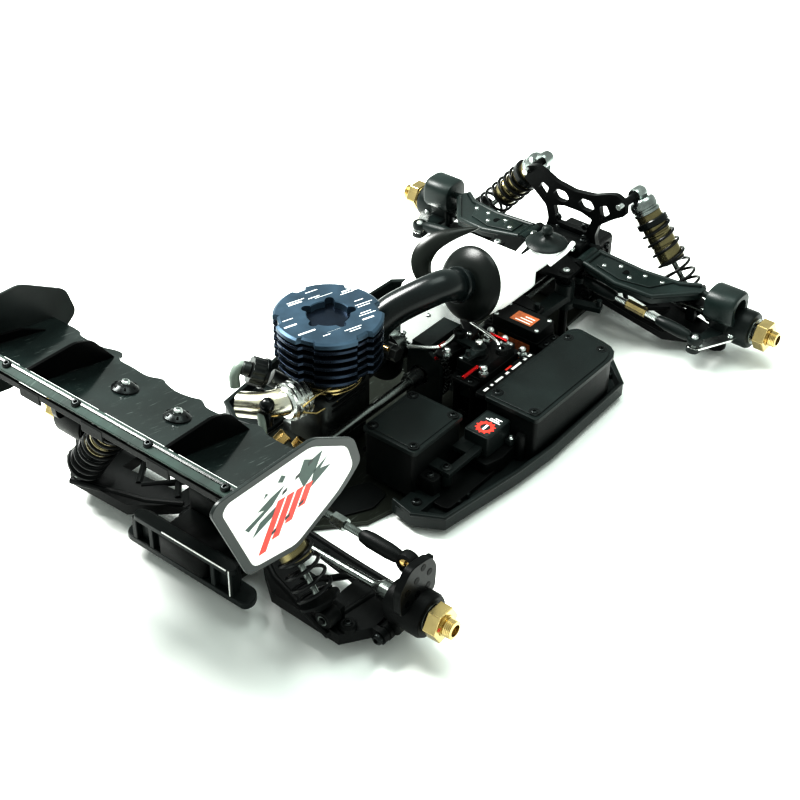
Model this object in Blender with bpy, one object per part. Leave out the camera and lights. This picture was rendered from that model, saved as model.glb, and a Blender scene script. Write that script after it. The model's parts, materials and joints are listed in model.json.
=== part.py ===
"""Nitro off-road buggy, rolling chassis without wheels or body shell.

Every size is in millimetres; MM turns it into Blender's metres. X runs forward, Y to the left and Z up.
The origin lies on the underside of the chassis plate, half-way between the axles, on the centre line.
"""

import math

import bmesh
import bpy
from mathutils import Matrix, Vector

MM = 0.001

# Clearances
GAP = 0.3
RUNNING_GAP = 0.6
LINK_GAP = 1.0

# Overall layout
WHEELBASE = 326.0
FRONT_X = WHEELBASE / 2
REAR_X = -WHEELBASE / 2

# Chassis plate and side guards
PLATE_T = 3.0
PLATE_HALF_WIDTH = 50.0
PLATE_NOSE = 20.0
PLATE_TAIL = 26.0
GUARD_HALF_WIDTH = 89.0
GUARD_FLOOR_T = 3.0
GUARD_RIM_T = 2.4
GUARD_HEIGHT = 13.0
GUARD_REAR_X = REAR_X + 63
GUARD_FRONT_X = FRONT_X - 59

# Driveline
DRIVE_Y = -3.0
DRIVE_Z = 28.0
SHAFT_R = 3.0
GEAR_MODULE = 0.8
SPUR_TEETH = 45
BELL_TEETH = 15
SPUR_WIDTH = 6.0
GEARBOX_HALF_WIDTH = 17.0
GEARBOX_HALF_LENGTH = 20.0
GEARBOX_HEIGHT = 44.0
CASE_STEP_BACK = 1.6
SPOUT_R = 9.5
REAR_SPOUT = 13.6
SHAFT_SOCKET = 9.0
DIFF_CASE_R = 13.0
BUMPER_LENGTH = 22.0
BUMPER_HALF_WIDTH = 17.0
BUMPER_LOW = 12.0
BUMPER_HIGH = 30.0

# Front suspension, on the left side; the right side is its mirror image
HINGE_PIN_R = 2.0
LUG_T = 4.0
LUG_R = 4.0
F_HINGE_Y = 22.0
F_LOWER_HINGE_Z = 18.0
F_UPPER_HINGE_Z = 45.0
F_ARM_DY = 84.0
F_ARM_DZ = -10.0
F_KINGPIN_X = FRONT_X - 5
F_HUB_Z = 21.0
STEER_ARM = 30.0
TIE_DROP = 4.2
TIE_EYE_R = 4.4
TIE_EYE_HALF = 1.8
UPPER_BALL_R = 4.6
KINGPIN_STUD_R = 2.2
STEER_LIMIT = 22.0
UPPER_ARM_X = FRONT_X - 29
UPPER_ARM_HALF = 13.0
BALL_R = 3.6

# Rear suspension
R_HINGE_Y = 22.0
R_LOWER_HINGE_Z = 17.0
R_LINK_RISE = 40.0
R_LINK_OFFSET_Y = 4.0
R_ARM_DY = 88.0
R_ARM_DZ = -4.0
R_HUB_Z = 27.0

# Wheel hexes
HEX_ACROSS_FLATS = 17.0
HEX_T = 8.0
HEX_FACE_Y = 138.5
STUB_R = 5.0
STUB_END_Y = 144.0
HUB_BORE_R = 5.6

# Shock towers
TOWER_T = 4.0
F_TOWER_X = FRONT_X - 13
R_TOWER_X = REAR_X - 16.5
F_TOWER_HALF_WIDTH = 38.0
R_TOWER_HALF_WIDTH = 46.0

# Shock absorbers
SHOCK_EYE_R = 4.6
SHOCK_PIN_R = 1.6
SHOCK_BODY_R = 7.4
SHOCK_CAP_R = SHOCK_BODY_R + 1.2
SHOCK_SHAFT_R = 1.7
SPRING_WIRE_R = 0.9
SPRING_CLEARANCE = 1.1
SPRING_R = SHOCK_BODY_R + SPRING_CLEARANCE + SPRING_WIRE_R
SHOCK_COLLAR_R = SPRING_R + 1.0
SHOCK_BODY_LENGTH = 47.0
SHOCK_BORE_TOP = 14.0
SHOCK_SHAFT_IN_BODY = 9.0
SPRING_TOP = 22.0
SPRING_SEAT_UP = 10.0
F_SHOCK_X = F_TOWER_X + TOWER_T / 2 + SHOCK_CAP_R + 5.4
F_SHOCK_TOP = (35.0, 82.0)
F_SHOCK_FOOT = (86.0, 20.0)
R_SHOCK_X = R_TOWER_X - TOWER_T / 2 - SHOCK_CAP_R - 0.9
R_SHOCK_TOP = (42.0, 88.0)
R_SHOCK_FOOT = (88.0, 23.5)

# Engine
ENGINE_X = -66.0
ENGINE_Y = 18.5
CASE_HALF_LENGTH = 21.0
CASE_HALF_WIDTH = 14.0
CASE_BOTTOM = 9.0
CASE_TOP = 52.0
HEAD_R = 30.5
HEAD_TOP = 90.0
HEAD_FINS = 6
FIN_PITCH = 5.2
FIN_T = 2.6
HEAD_CORE_R = 15.0
HEAD_BOWL_R = 12.0
CARB_R = 8.0
CARB_X = -28.0
CARB_TOP = 54.0
BELL_X0 = -16.0
BELL_X1 = -8.0

# Air filter
FILTER_DISH_R = 20.0
FILTER_FOAM_R = 16.5
FILTER_CENTRE = (27.0, -5.0, 72.0)
FILTER_AXIS = (0.92, -0.10, -0.36)
ELBOW_R = 8.6

# Fuel tank
TANK_FRONT_X = 91.0
TANK_MID_X = 64.0
TANK_REAR_X = 30.0
TANK_LEFT_Y = 48.0
TANK_INNER_Y = 8.0
TANK_OVERHANG_Y = -16.0
TANK_FLOOR_Z = 8.0
TANK_STEP_Z = 46.0
TANK_TOP_Z = 62.0
TANK_WALL = 2.0
NECK_R = 9.0
NECK_WALL = 1.8
NECK_SLOPE_R = 6.8
NECK_X = 101.0
NECK_Y = -12.0
NECK_LOW_Z = 57.5
NECK_TOP_Z = 67.0
LID_R = 11.0

# Radio tray
RADIO_BOX = (-16.0, 72.0, -86.5, -52.0, 38.0)
RECEIVER_BOX = (-81.0, -39.0, -54.0, -19.0, 40.0)
TRAY_T = 3.0

# Steering
CRANK_X = FRONT_X - 59
CRANK_Y = 26.0
CRANK_POST_R = 3.0
CRANK_HUB_R = 6.0
TOP_PLATE_Z = 50.0
TOP_PLATE_T = 2.5
STEER_PLATE_Z = 38.0
STEER_PLATE_T = 2.5
STEER_PIN_R = 1.8

# Servos
SERVO_LENGTH = 34.0
SERVO_WIDTH = 19.0
SERVO_HEIGHT = 36.0
STEER_SERVO_X = 57.0
STEER_SERVO_Y = -27.4
THROTTLE_SERVO_X = 12.0
THROTTLE_SERVO_Y = -33.0

# Wing
WING_HALF_SPAN = 94.0
WING_T = 1.6
WING_FRONT = (REAR_X - 27, 119.0)
WING_REAR = (REAR_X - 84, 132.0)
GURNEY_HEIGHT = 9.0
FIN_HEIGHT = 14.0
FIN_Y = 45.0
ENDPLATE_T = 1.8
WING_POST_Y = 17.0

# Segment counts of the round pieces
FINE = 20
ROUND = 12
SMALL = 8
PIN = 10

SMOOTH_ANGLE = math.radians(35)

PALETTE = {
    "black_plastic": ((0.020, 0.026, 0.025), 0.45, 0.0),
    "satin_plastic": ((0.030, 0.040, 0.038), 0.35, 0.0),
    "anodised_olive": ((0.060, 0.065, 0.050), 0.35, 0.8),
    "anodised_black": ((0.030, 0.034, 0.036), 0.30, 0.7),
    "head_blue": ((0.045, 0.075, 0.110), 0.30, 0.8),
    "aluminium": ((0.650, 0.660, 0.660), 0.28, 1.0),
    "steel": ((0.420, 0.430, 0.430), 0.30, 1.0),
    "gold": ((0.560, 0.430, 0.200), 0.28, 1.0),
    "white_plastic": ((0.850, 0.870, 0.850), 0.40, 0.0),
    "white_sheet": ((0.880, 0.880, 0.880), 0.35, 0.0),
}


# ---------------------------------------------------------------- shapes

def block(x0, x1, y0, y1, z0, z1, chamfer=0.0):
    """A box between six faces, with its edges chamfered."""
    shape = bmesh.new()
    bmesh.ops.create_cube(shape, size=1.0)
    size = Vector((abs(x1 - x0), abs(y1 - y0), abs(z1 - z0)))
    centre = Vector((x0 + x1, y0 + y1, z0 + z1)) / 2
    bmesh.ops.scale(shape, vec=size, verts=shape.verts)
    bmesh.ops.translate(shape, vec=centre, verts=shape.verts)
    if chamfer:
        bmesh.ops.bevel(shape, geom=shape.edges[:], offset=chamfer, segments=1, affect="EDGES")
    return shape


def prism(outline, axis, low, high):
    """An outline in the plane across an axis, extruded along it. The outline skips the axis's own letter."""
    shape = bmesh.new()
    order = {"x": (1, 2, 0), "y": (0, 2, 1), "z": (0, 1, 2)}[axis]
    corners = []
    for first, second in outline:
        point = [0.0, 0.0, 0.0]
        point[order[0]] = first
        point[order[1]] = second
        point[order[2]] = low
        corners.append(shape.verts.new(point))
    face = shape.faces.new(corners)
    top = bmesh.ops.extrude_face_region(shape, geom=[face])["geom"]
    step = Vector((0, 0, 0))
    step["xyz".index(axis)] = high - low
    bmesh.ops.translate(shape, vec=step, verts=[v for v in top if isinstance(v, bmesh.types.BMVert)])
    bmesh.ops.recalc_face_normals(shape, faces=shape.faces[:])
    return shape


def turned(profile, start, direction, segments=ROUND):
    """A closed profile of (radius, height) points spun round the axis that leaves start in direction."""
    shape = bmesh.new()
    points = [shape.verts.new((radius, 0.0, height)) for radius, height in profile]
    edges = [shape.edges.new((a, b)) for a, b in zip(points, points[1:] + points[:1])]
    bmesh.ops.spin(
        shape, geom=points + edges, cent=(0, 0, 0), axis=(0, 0, 1),
        angle=2 * math.pi, steps=segments, use_merge=True,
    )
    bmesh.ops.remove_doubles(shape, verts=shape.verts[:], dist=1e-4)
    flat = [edge for edge in shape.edges if not edge.link_faces]
    bmesh.ops.delete(shape, geom=flat, context="EDGES")
    bmesh.ops.recalc_face_normals(shape, faces=shape.faces[:])
    turn = Vector((0, 0, 1)).rotation_difference(Vector(direction)).to_matrix().to_4x4()
    bmesh.ops.transform(shape, matrix=Matrix.Translation(start) @ turn, verts=shape.verts)
    return shape


def rod(start, end, radius, segments=SMALL, end_radius=None):
    """A round bar, or a cone where the end has its own radius."""
    length = (Vector(end) - Vector(start)).length
    shape = bmesh.new()
    bmesh.ops.create_cone(
        shape, cap_ends=True, segments=segments, radius1=radius,
        radius2=radius if end_radius is None else end_radius, depth=length,
    )
    bmesh.ops.translate(shape, vec=(0, 0, length / 2), verts=shape.verts)
    direction = Vector(end) - Vector(start)
    turn = Vector((0, 0, 1)).rotation_difference(direction).to_matrix().to_4x4()
    bmesh.ops.transform(shape, matrix=Matrix.Translation(start) @ turn, verts=shape.verts)
    return shape


def ball(centre, radius, segments=SMALL):
    shape = bmesh.new()
    bmesh.ops.create_uvsphere(shape, u_segments=segments, v_segments=segments // 2 + 2, radius=radius)
    bmesh.ops.translate(shape, vec=centre, verts=shape.verts)
    return shape


def swept(points, radii, segments=SMALL):
    """A tube through a row of points, with a radius at each."""
    shape = bmesh.new()
    points = [Vector(point) for point in points]
    rings = []
    across = None
    for index, point in enumerate(points):
        ahead = points[min(index + 1, len(points) - 1)]
        behind = points[max(index - 1, 0)]
        tangent = (ahead - behind).normalized()
        if across is None:
            across = tangent.orthogonal().normalized()
        across = (across - across.dot(tangent) * tangent).normalized()
        other = tangent.cross(across)
        ring = []
        for step in range(segments):
            angle = 2 * math.pi * step / segments
            offset = (across * math.cos(angle) + other * math.sin(angle)) * radii[index]
            ring.append(shape.verts.new(point + offset))
        rings.append(ring)
    for first, second in zip(rings, rings[1:]):
        for step in range(segments):
            after = (step + 1) % segments
            shape.faces.new((first[step], first[after], second[after], second[step]))
    shape.faces.new(rings[0][::-1])
    shape.faces.new(rings[-1])
    bmesh.ops.recalc_face_normals(shape, faces=shape.faces[:])
    return shape


def curve_through(points, steps=6):
    """Points along a smooth curve that passes through the given ones."""
    row = [Vector(point) for point in points]
    row = [2 * row[0] - row[1]] + row + [2 * row[-1] - row[-2]]
    smooth = []
    for a, b, c, d in zip(row, row[1:], row[2:], row[3:]):
        for step in range(steps):
            t = step / steps
            smooth.append(
                0.5 * (2 * b + (c - a) * t + (2 * a - 5 * b + 4 * c - d) * t**2
                       + (3 * b - a - 3 * c + d) * t**3)
            )
    smooth.append(row[-2])
    return smooth


def arc(centre, radius, start_degrees, end_degrees, steps=6):
    """Points of an arc in a plane, both ends included."""
    points = []
    for step in range(steps + 1):
        angle = math.radians(start_degrees + (end_degrees - start_degrees) * step / steps)
        points.append((centre[0] + radius * math.cos(angle), centre[1] + radius * math.sin(angle)))
    return points


def gear(teeth, axis_point, x0, x1):
    """A spur gear whose axis runs along X; its teeth stop just short of the pitch circle."""
    pitch_r = GEAR_MODULE * teeth / 2
    outline = []
    for tooth in range(teeth):
        for share, radius in ((0.0, pitch_r - GAP), (0.35, pitch_r - GAP), (0.5, pitch_r - 2.2),
                              (0.85, pitch_r - 2.2)):
            angle = 2 * math.pi * (tooth + share) / teeth
            outline.append((axis_point[0] + radius * math.cos(angle),
                            axis_point[1] + radius * math.sin(angle)))
    return prism(outline, "x", x0, x1)


def hexagon(centre, across_flats):
    corner = across_flats / math.sqrt(3)
    return [
        (centre[0] + corner * math.cos(math.radians(60 * k)),
         centre[1] + corner * math.sin(math.radians(60 * k)))
        for k in range(6)
    ]


# ---------------------------------------------------------------- objects

def clear_scene():
    for item in list(bpy.data.objects):
        bpy.data.objects.remove(item, do_unlink=True)


def material(name):
    made = bpy.data.materials.get(name)
    if made:
        return made
    colour, roughness, metallic = PALETTE[name]
    made = bpy.data.materials.new(name)
    made.use_nodes = True
    shader = made.node_tree.nodes["Principled BSDF"]
    shader.inputs["Base Color"].default_value = (*colour, 1.0)
    shader.inputs["Roughness"].default_value = roughness
    shader.inputs["Metallic"].default_value = metallic
    return made


def solid(name, shape, pivot):
    """An object made of one shape, in metres, with its origin at the pivot."""
    bmesh.ops.translate(shape, vec=-Vector(pivot), verts=shape.verts)
    bmesh.ops.scale(shape, vec=(MM, MM, MM), verts=shape.verts)
    mesh = bpy.data.meshes.new(name)
    shape.to_mesh(mesh)
    shape.free()
    made = bpy.data.objects.new(name, mesh)
    made.location = Vector(pivot) * MM
    bpy.context.scene.collection.objects.link(made)
    return made


def piece(name, finish, shapes, cuts=(), pivot=(0, 0, 0)):
    """One named part: its shapes are joined into one body, and the cuts are taken out of it."""
    made = solid(name, shapes[0], pivot)
    helpers = []
    for kind, group in (("UNION", shapes[1:]), ("DIFFERENCE", cuts)):
        for index, shape in enumerate(group):
            helper = solid(f"{name}_{kind.lower()}_{index}", shape, pivot)
            modifier = made.modifiers.new(helper.name, "BOOLEAN")
            modifier.operation = kind
            modifier.solver = "EXACT"
            modifier.object = helper
            helpers.append(helper)
    if helpers:
        bpy.context.view_layer.update()
        graph = bpy.context.evaluated_depsgraph_get()
        mesh = bpy.data.meshes.new_from_object(made.evaluated_get(graph))
        mesh.name = name
        made.modifiers.clear()
        made.data = mesh
        for helper in helpers:
            bpy.data.objects.remove(helper, do_unlink=True)
    made.data.materials.clear()
    made.data.materials.append(material(finish))
    made.data.shade_smooth()
    made.data.set_sharp_from_angle(angle=SMOOTH_ANGLE)
    return made


def side_name(base, side):
    return f"{base}_{'left' if side > 0 else 'right'}"


# ---------------------------------------------------------------- chassis

def chassis():
    nose_x = FRONT_X + PLATE_NOSE
    tail_x = REAR_X - PLATE_TAIL
    half_outline = [
        (nose_x, 14), (nose_x - 8, 19), (F_KINGPIN_X - 40, 21), (F_KINGPIN_X - 62, PLATE_HALF_WIDTH),
        (REAR_X + 79, PLATE_HALF_WIDTH), (REAR_X + 55, PLATE_HALF_WIDTH - 6), (REAR_X + 33, 24),
        (tail_x + 6, 20), (tail_x, 15),
    ]
    outline = half_outline + [(x, -y) for x, y in reversed(half_outline)]
    piece("chassis_plate", "anodised_olive", [prism(outline, "z", 0, PLATE_T)])
    for side in (1, -1):
        side_guard(side)


def side_guard(side):
    """A shallow plastic trough that widens the chassis to one side."""
    inner = PLATE_HALF_WIDTH - 1
    edge = [
        (GUARD_FRONT_X, inner), (GUARD_FRONT_X - 4, 62), (GUARD_FRONT_X - 28, GUARD_HALF_WIDTH),
        (0, GUARD_HALF_WIDTH + 2), (-30, GUARD_HALF_WIDTH), (-88, GUARD_HALF_WIDTH - 8),
        (GUARD_REAR_X + 3, 64), (GUARD_REAR_X + 6, inner),
    ]
    low = PLATE_T + GAP
    outer = prism([(x, side * y) for x, y in edge], "z", low, GUARD_HEIGHT)
    trough = [
        (GUARD_FRONT_X - GUARD_RIM_T, inner - 5), (GUARD_FRONT_X - 6.5, 61),
        (GUARD_FRONT_X - 29.5, GUARD_HALF_WIDTH - GUARD_RIM_T), (0, GUARD_HALF_WIDTH + 2 - GUARD_RIM_T),
        (-30, GUARD_HALF_WIDTH - GUARD_RIM_T), (-86.5, GUARD_HALF_WIDTH - 8 - GUARD_RIM_T),
        (GUARD_REAR_X + 6, 63), (GUARD_REAR_X + 9, inner - 5),
    ]
    hollow = prism([(x, side * y) for x, y in trough], "z", low + GUARD_FLOOR_T, GUARD_HEIGHT + 5)
    piece(side_name("side_guard", side), "black_plastic", [outer], [hollow])


# ---------------------------------------------------------------- gearboxes, towers

def pin_lug(x, root_y, pin_y, z):
    """A lug that reaches out from root_y to carry a hinge pin, which runs along X."""
    short = 0.7 if pin_y > root_y else -0.7
    arm = block(x + GAP, x + LUG_T - GAP, root_y, pin_y - short, z - LUG_R + 0.5, z + LUG_R - 0.5)
    return [arm, rod((x, pin_y, z), (x + LUG_T, pin_y, z), LUG_R)]


def gearbox(centre_x, inward, spout_length, hinge_y, lower_z, cap_x0, cap_x1, cap_top):
    """A differential case with lugs for the inner hinge pins. inward is -1 at the front and 1 at the rear."""
    floor = PLATE_T + GAP
    length = GEARBOX_HALF_LENGTH
    width = GEARBOX_HALF_WIDTH
    inner_face = centre_x + inward * (length - CASE_STEP_BACK)
    nose = inner_face + inward * spout_length
    case = block(inner_face, centre_x - inward * length, -width, width, floor, GEARBOX_HEIGHT, 2.0)
    spout = rod((centre_x, DRIVE_Y, DRIVE_Z), (nose, DRIVE_Y, DRIVE_Z), SPOUT_R, ROUND)
    bulge = rod((centre_x, -width - 0.5, DRIVE_Z - 3), (centre_x, width + 0.5, DRIVE_Z - 3), DIFF_CASE_R,
                ROUND)
    shapes = [case, spout, bulge] if spout_length else [case, bulge]
    shapes.append(block(cap_x0, cap_x1, -width + 1, width - 1, GEARBOX_HEIGHT - 4, cap_top, 1.5))
    cuts = []
    bore = SHAFT_R + RUNNING_GAP
    cuts.append(rod((nose - inward * SHAFT_SOCKET, DRIVE_Y, DRIVE_Z),
                    (nose + inward * 5, DRIVE_Y, DRIVE_Z), bore, ROUND))
    for side in (1, -1):
        y = side * hinge_y
        for lug_x in (centre_x - length + 1, centre_x + length - 5):
            shapes += pin_lug(lug_x, side * (width - 3), y, lower_z)
        shapes.append(rod((centre_x - length - 1, y, lower_z), (centre_x + length + 1, y, lower_z),
                          HINGE_PIN_R, PIN))
        cuts.append(rod((centre_x, side * 8, DRIVE_Z - 3), (centre_x, side * 30, DRIVE_Z - 3), 5.0, SMALL))
    return shapes, cuts


def front_gearbox():
    shapes, cuts = gearbox(FRONT_X - 9, -1, 0, F_HINGE_Y, F_LOWER_HINGE_Z, FRONT_X - 28,
                           F_TOWER_X - TOWER_T / 2 - GAP, F_UPPER_HINGE_Z + 6)
    for side in (1, -1):
        y = side * F_HINGE_Y
        start = UPPER_ARM_X - UPPER_ARM_HALF
        end = UPPER_ARM_X + UPPER_ARM_HALF
        for lug_x in (start, end - 4):
            shapes += pin_lug(lug_x, side * 8, y, F_UPPER_HINGE_Z)
        shapes.append(rod((start - 1, y, F_UPPER_HINGE_Z), (end + 1, y, F_UPPER_HINGE_Z), HINGE_PIN_R, PIN))
    piece("front_gearbox", "black_plastic", shapes, cuts)


def rear_gearbox():
    shapes, cuts = gearbox(REAR_X + 2, 1, REAR_SPOUT, R_HINGE_Y, R_LOWER_HINGE_Z, REAR_X - 7, REAR_X + 11,
                           GEARBOX_HEIGHT + 4)
    link_z = R_LOWER_HINGE_Z + R_LINK_RISE
    link_y = R_HINGE_Y + R_LINK_OFFSET_Y
    shapes.append(block(REAR_X - 4, REAR_X + 6, -15, 15, 40, link_z + 5, 1.5))
    for side in (1, -1):
        shapes.append(block(REAR_X - 4, REAR_X + 6, side * 10, side * 19, link_z - 4, link_z + 4, 1.0))
        shapes.append(rod((REAR_X + 1, side * 18, link_z), (REAR_X + 1, side * (link_y - 2), link_z), 1.6))
        shapes.append(ball((REAR_X + 1, side * link_y, link_z), BALL_R))
    tail = REAR_X - GEARBOX_HALF_LENGTH
    shapes.append(block(tail - BUMPER_LENGTH, tail + 4, -BUMPER_HALF_WIDTH, BUMPER_HALF_WIDTH, BUMPER_LOW,
                        BUMPER_HIGH, 3.0))
    piece("rear_gearbox", "black_plastic", shapes, cuts)


def tower_outline(half_width, foot_z, top_z, foot_half):
    """The outer edge of a shock tower, which has a shallow dip in its top."""
    right_half = [
        (foot_half, foot_z), (foot_half + 1, foot_z + 16), (half_width - 10, top_z - 22),
        (half_width, top_z - 12), (half_width - 1, top_z - 3), (half_width - 8, top_z),
        (18, top_z - 4), (0, top_z - 6),
    ]
    left_half = [(-y, z) for y, z in reversed(right_half[:-1])]
    return right_half + left_half


def shock_tower(name, plate_x, half_width, foot_z, eye, eye_x):
    top_z = eye[1] + 5
    x0 = plate_x - TOWER_T / 2
    x1 = plate_x + TOWER_T / 2
    plate = prism(tower_outline(half_width, foot_z, top_z, 14), "x", x0, x1)
    cuts = []
    for side in (1, -1):
        window = [(side * 17, top_z - 24), (side * 30, top_z - 17), (side * 27, top_z - 10),
                  (side * 14, top_z - 12)]
        cuts.append(prism(window, "x", x0 - 1, x1 + 1))
    middle = [(-11, top_z - 26), (11, top_z - 26), (7, top_z - 13), (-7, top_z - 13)]
    cuts.append(prism(middle, "x", x0 - 1, x1 + 1))
    outward = 1 if eye_x > plate_x else -1
    face = plate_x + outward * (TOWER_T / 2 - 1)
    shapes = [plate]
    for side in (1, -1):
        near = (face, side * eye[0], eye[1])
        seat = (eye_x - outward * (SHOCK_EYE_R + GAP), side * eye[0], eye[1])
        tip = (eye_x + outward * (SHOCK_EYE_R + 2), side * eye[0], eye[1])
        shapes.append(rod(near, seat, 2.5))
        shapes.append(rod(near, tip, SHOCK_PIN_R))
    piece(name, "anodised_black", shapes, cuts)


# ---------------------------------------------------------------- suspension

def front_corner(side):
    kingpin_y = F_HINGE_Y + F_ARM_DY
    lower_ball_z = F_LOWER_HINGE_Z + F_ARM_DZ
    upper_ball_z = F_UPPER_HINGE_Z + F_ARM_DZ
    box_x = FRONT_X - 9
    length = GEARBOX_HALF_LENGTH
    inner_x0 = box_x - length + 5 + GAP
    inner_x1 = box_x + length - 5 - GAP

    def at(x, y, z):
        return (x, side * y, z)

    # Lower arm: a barrel on the hinge pin, a tapering web and a socket for the pillow ball.
    barrel = rod(at(inner_x0, F_HINGE_Y, F_LOWER_HINGE_Z), at(inner_x1, F_HINGE_Y, F_LOWER_HINGE_Z), 4.2)
    pin_hole = rod(at(inner_x0 - 1, F_HINGE_Y, F_LOWER_HINGE_Z),
                   at(inner_x1 + 1, F_HINGE_Y, F_LOWER_HINGE_Z),
                   HINGE_PIN_R + GAP, PIN)
    web = prism([(inner_x0, side * (F_HINGE_Y + 3)), (inner_x1, side * (F_HINGE_Y + 3)),
                 (F_KINGPIN_X + 7, side * (kingpin_y - 14)), (F_KINGPIN_X + 5, side * (kingpin_y - 2)),
                 (F_KINGPIN_X - 5, side * (kingpin_y - 2)), (F_KINGPIN_X - 22, side * (kingpin_y - 26))],
                "z", -3.0, 3.0)
    lean_web(web, side, F_LOWER_HINGE_Z, F_ARM_DY, F_ARM_DZ, F_HINGE_Y)
    socket = rod(at(F_KINGPIN_X, kingpin_y, lower_ball_z - 4.5),
                 at(F_KINGPIN_X, kingpin_y, lower_ball_z + 1.5),
                 BALL_R + 3, ROUND)
    cup = ball(at(F_KINGPIN_X, kingpin_y, lower_ball_z), BALL_R + GAP)
    mouth = rod(at(F_KINGPIN_X, kingpin_y, lower_ball_z), at(F_KINGPIN_X, kingpin_y, lower_ball_z + 8),
                BALL_R + GAP, ROUND)
    foot_y, foot_z = F_SHOCK_FOOT
    arm_z = F_LOWER_HINGE_Z + F_ARM_DZ * (foot_y - F_HINGE_Y) / F_ARM_DY
    cheek = block(F_SHOCK_X - SHOCK_EYE_R - 4, F_SHOCK_X - SHOCK_EYE_R - GAP, side * (foot_y - 3),
                  side * (foot_y + 3), arm_z - 1, foot_z + 2.4)
    pin = rod(at(F_SHOCK_X - SHOCK_EYE_R - 2, foot_y, foot_z),
              at(F_SHOCK_X + SHOCK_EYE_R + 1, foot_y, foot_z),
              SHOCK_PIN_R)
    window = prism([(inner_x0 + 8, side * (F_HINGE_Y + 12)), (inner_x1 - 8, side * (F_HINGE_Y + 12)),
                    (F_KINGPIN_X - 2, side * (kingpin_y - 34)),
                    (F_KINGPIN_X - 14, side * (kingpin_y - 34))],
                   "z", -10, 40)
    piece(side_name("front_lower_arm", side), "black_plastic", [barrel, web, socket, cheek, pin],
          [pin_hole, cup, mouth, window], at(box_x, F_HINGE_Y, F_LOWER_HINGE_Z))

    # Upper arm: swept back at its inner end, with a ball on a stud that sits in the knuckle's barrel.
    start = UPPER_ARM_X - UPPER_ARM_HALF + 4 + GAP
    end = UPPER_ARM_X + UPPER_ARM_HALF - 4 - GAP
    barrel = rod(at(start, F_HINGE_Y, F_UPPER_HINGE_Z), at(end, F_HINGE_Y, F_UPPER_HINGE_Z), 4.2)
    pin_hole = rod(at(start - 1, F_HINGE_Y, F_UPPER_HINGE_Z), at(end + 1, F_HINGE_Y, F_UPPER_HINGE_Z),
                   HINGE_PIN_R + GAP, PIN)
    web = prism([(start, side * (F_HINGE_Y + 3)), (end, side * (F_HINGE_Y + 3)), (end + 3, side * 56),
                 (F_KINGPIN_X - 6, side * 80), (F_KINGPIN_X + 3, side * 90), (F_KINGPIN_X + 3, side * 93),
                 (F_KINGPIN_X - 4, side * 93), (start + 2, side * 74), (start - 3, side * 50)], "z", -2.4,
                 2.4)
    lean_web(web, side, F_UPPER_HINGE_Z, F_ARM_DY, F_ARM_DZ, F_HINGE_Y)
    stud_z = F_UPPER_HINGE_Z + F_ARM_DZ * (91 - F_HINGE_Y) / F_ARM_DY
    stud = rod(at(F_KINGPIN_X, 91, stud_z), at(F_KINGPIN_X, kingpin_y, upper_ball_z), KINGPIN_STUD_R)
    tip = ball(at(F_KINGPIN_X, kingpin_y, upper_ball_z), UPPER_BALL_R)
    piece(side_name("front_upper_arm", side), "black_plastic", [barrel, web, stud, tip], [pin_hole],
          at(UPPER_ARM_X, F_HINGE_Y, F_UPPER_HINGE_Z))

    # Pillow ball in the lower arm's socket, with the pin that the knuckle turns on.
    piece(side_name("front_pillow_ball", side), "steel",
          [ball(at(F_KINGPIN_X, kingpin_y, lower_ball_z), BALL_R),
           rod(at(F_KINGPIN_X, kingpin_y, lower_ball_z), at(F_KINGPIN_X, kingpin_y, lower_ball_z + 9),
               1.9)],
          pivot=at(F_KINGPIN_X, kingpin_y, lower_ball_z))

    # Knuckle: a drum round the axle, the kingpin studs and the steering arm.
    tie_z = STEER_PLATE_Z - TIE_DROP + F_ARM_DZ
    arm_top = tie_z - 3.9
    drum = rod(at(FRONT_X, kingpin_y + 8, F_HUB_Z), at(FRONT_X, HEX_FACE_Y - HEX_T - 1, F_HUB_Z), 11.0,
               ROUND)
    barrel = rod(at(F_KINGPIN_X, kingpin_y - 7, upper_ball_z),
                 at(F_KINGPIN_X, kingpin_y + 12, upper_ball_z), 10.0,
                 ROUND)
    barrel_bore = rod(at(F_KINGPIN_X, kingpin_y - 9, upper_ball_z),
                      at(F_KINGPIN_X, kingpin_y + 15, upper_ball_z),
                      UPPER_BALL_R + LINK_GAP, ROUND)
    stem = block(F_KINGPIN_X - 6, F_KINGPIN_X + 6, side * (kingpin_y - 4.5), side * (kingpin_y + 9.4),
                 lower_ball_z + 5, upper_ball_z - 5, 1.0)
    collar = rod(at(F_KINGPIN_X, kingpin_y, lower_ball_z + 4.4),
                 at(F_KINGPIN_X, kingpin_y, lower_ball_z + 12), 5.0)
    steer_arm = prism([(F_KINGPIN_X + 2, side * (kingpin_y + 8)),
                       (F_KINGPIN_X - STEER_ARM - 4, side * (kingpin_y + 4)),
                       (F_KINGPIN_X - STEER_ARM - 5, side * (kingpin_y - 4)),
                       (F_KINGPIN_X - 2, side * (kingpin_y - 3))], "z", arm_top - 3, arm_top)
    tie_stud = rod(at(F_KINGPIN_X - STEER_ARM, kingpin_y, arm_top - 1),
                   at(F_KINGPIN_X - STEER_ARM, kingpin_y, tie_z + 3),
                   STEER_PIN_R)
    axle_bore = rod(at(FRONT_X, 60, F_HUB_Z), at(FRONT_X, 150, F_HUB_Z), HUB_BORE_R, ROUND)
    ball_bore = rod(at(F_KINGPIN_X, kingpin_y, lower_ball_z),
                    at(F_KINGPIN_X, kingpin_y, lower_ball_z + 9 + GAP),
                    1.9 + GAP, ROUND)
    piece(side_name("front_knuckle", side), "black_plastic",
          [drum, barrel, stem, collar, steer_arm, tie_stud], [axle_bore, ball_bore, barrel_bore],
          at(F_KINGPIN_X, kingpin_y, F_HUB_Z))
    wheel_hex(side_name("front_wheel_hex", side), FRONT_X, F_HUB_Z, side, kingpin_y + 7)


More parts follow.
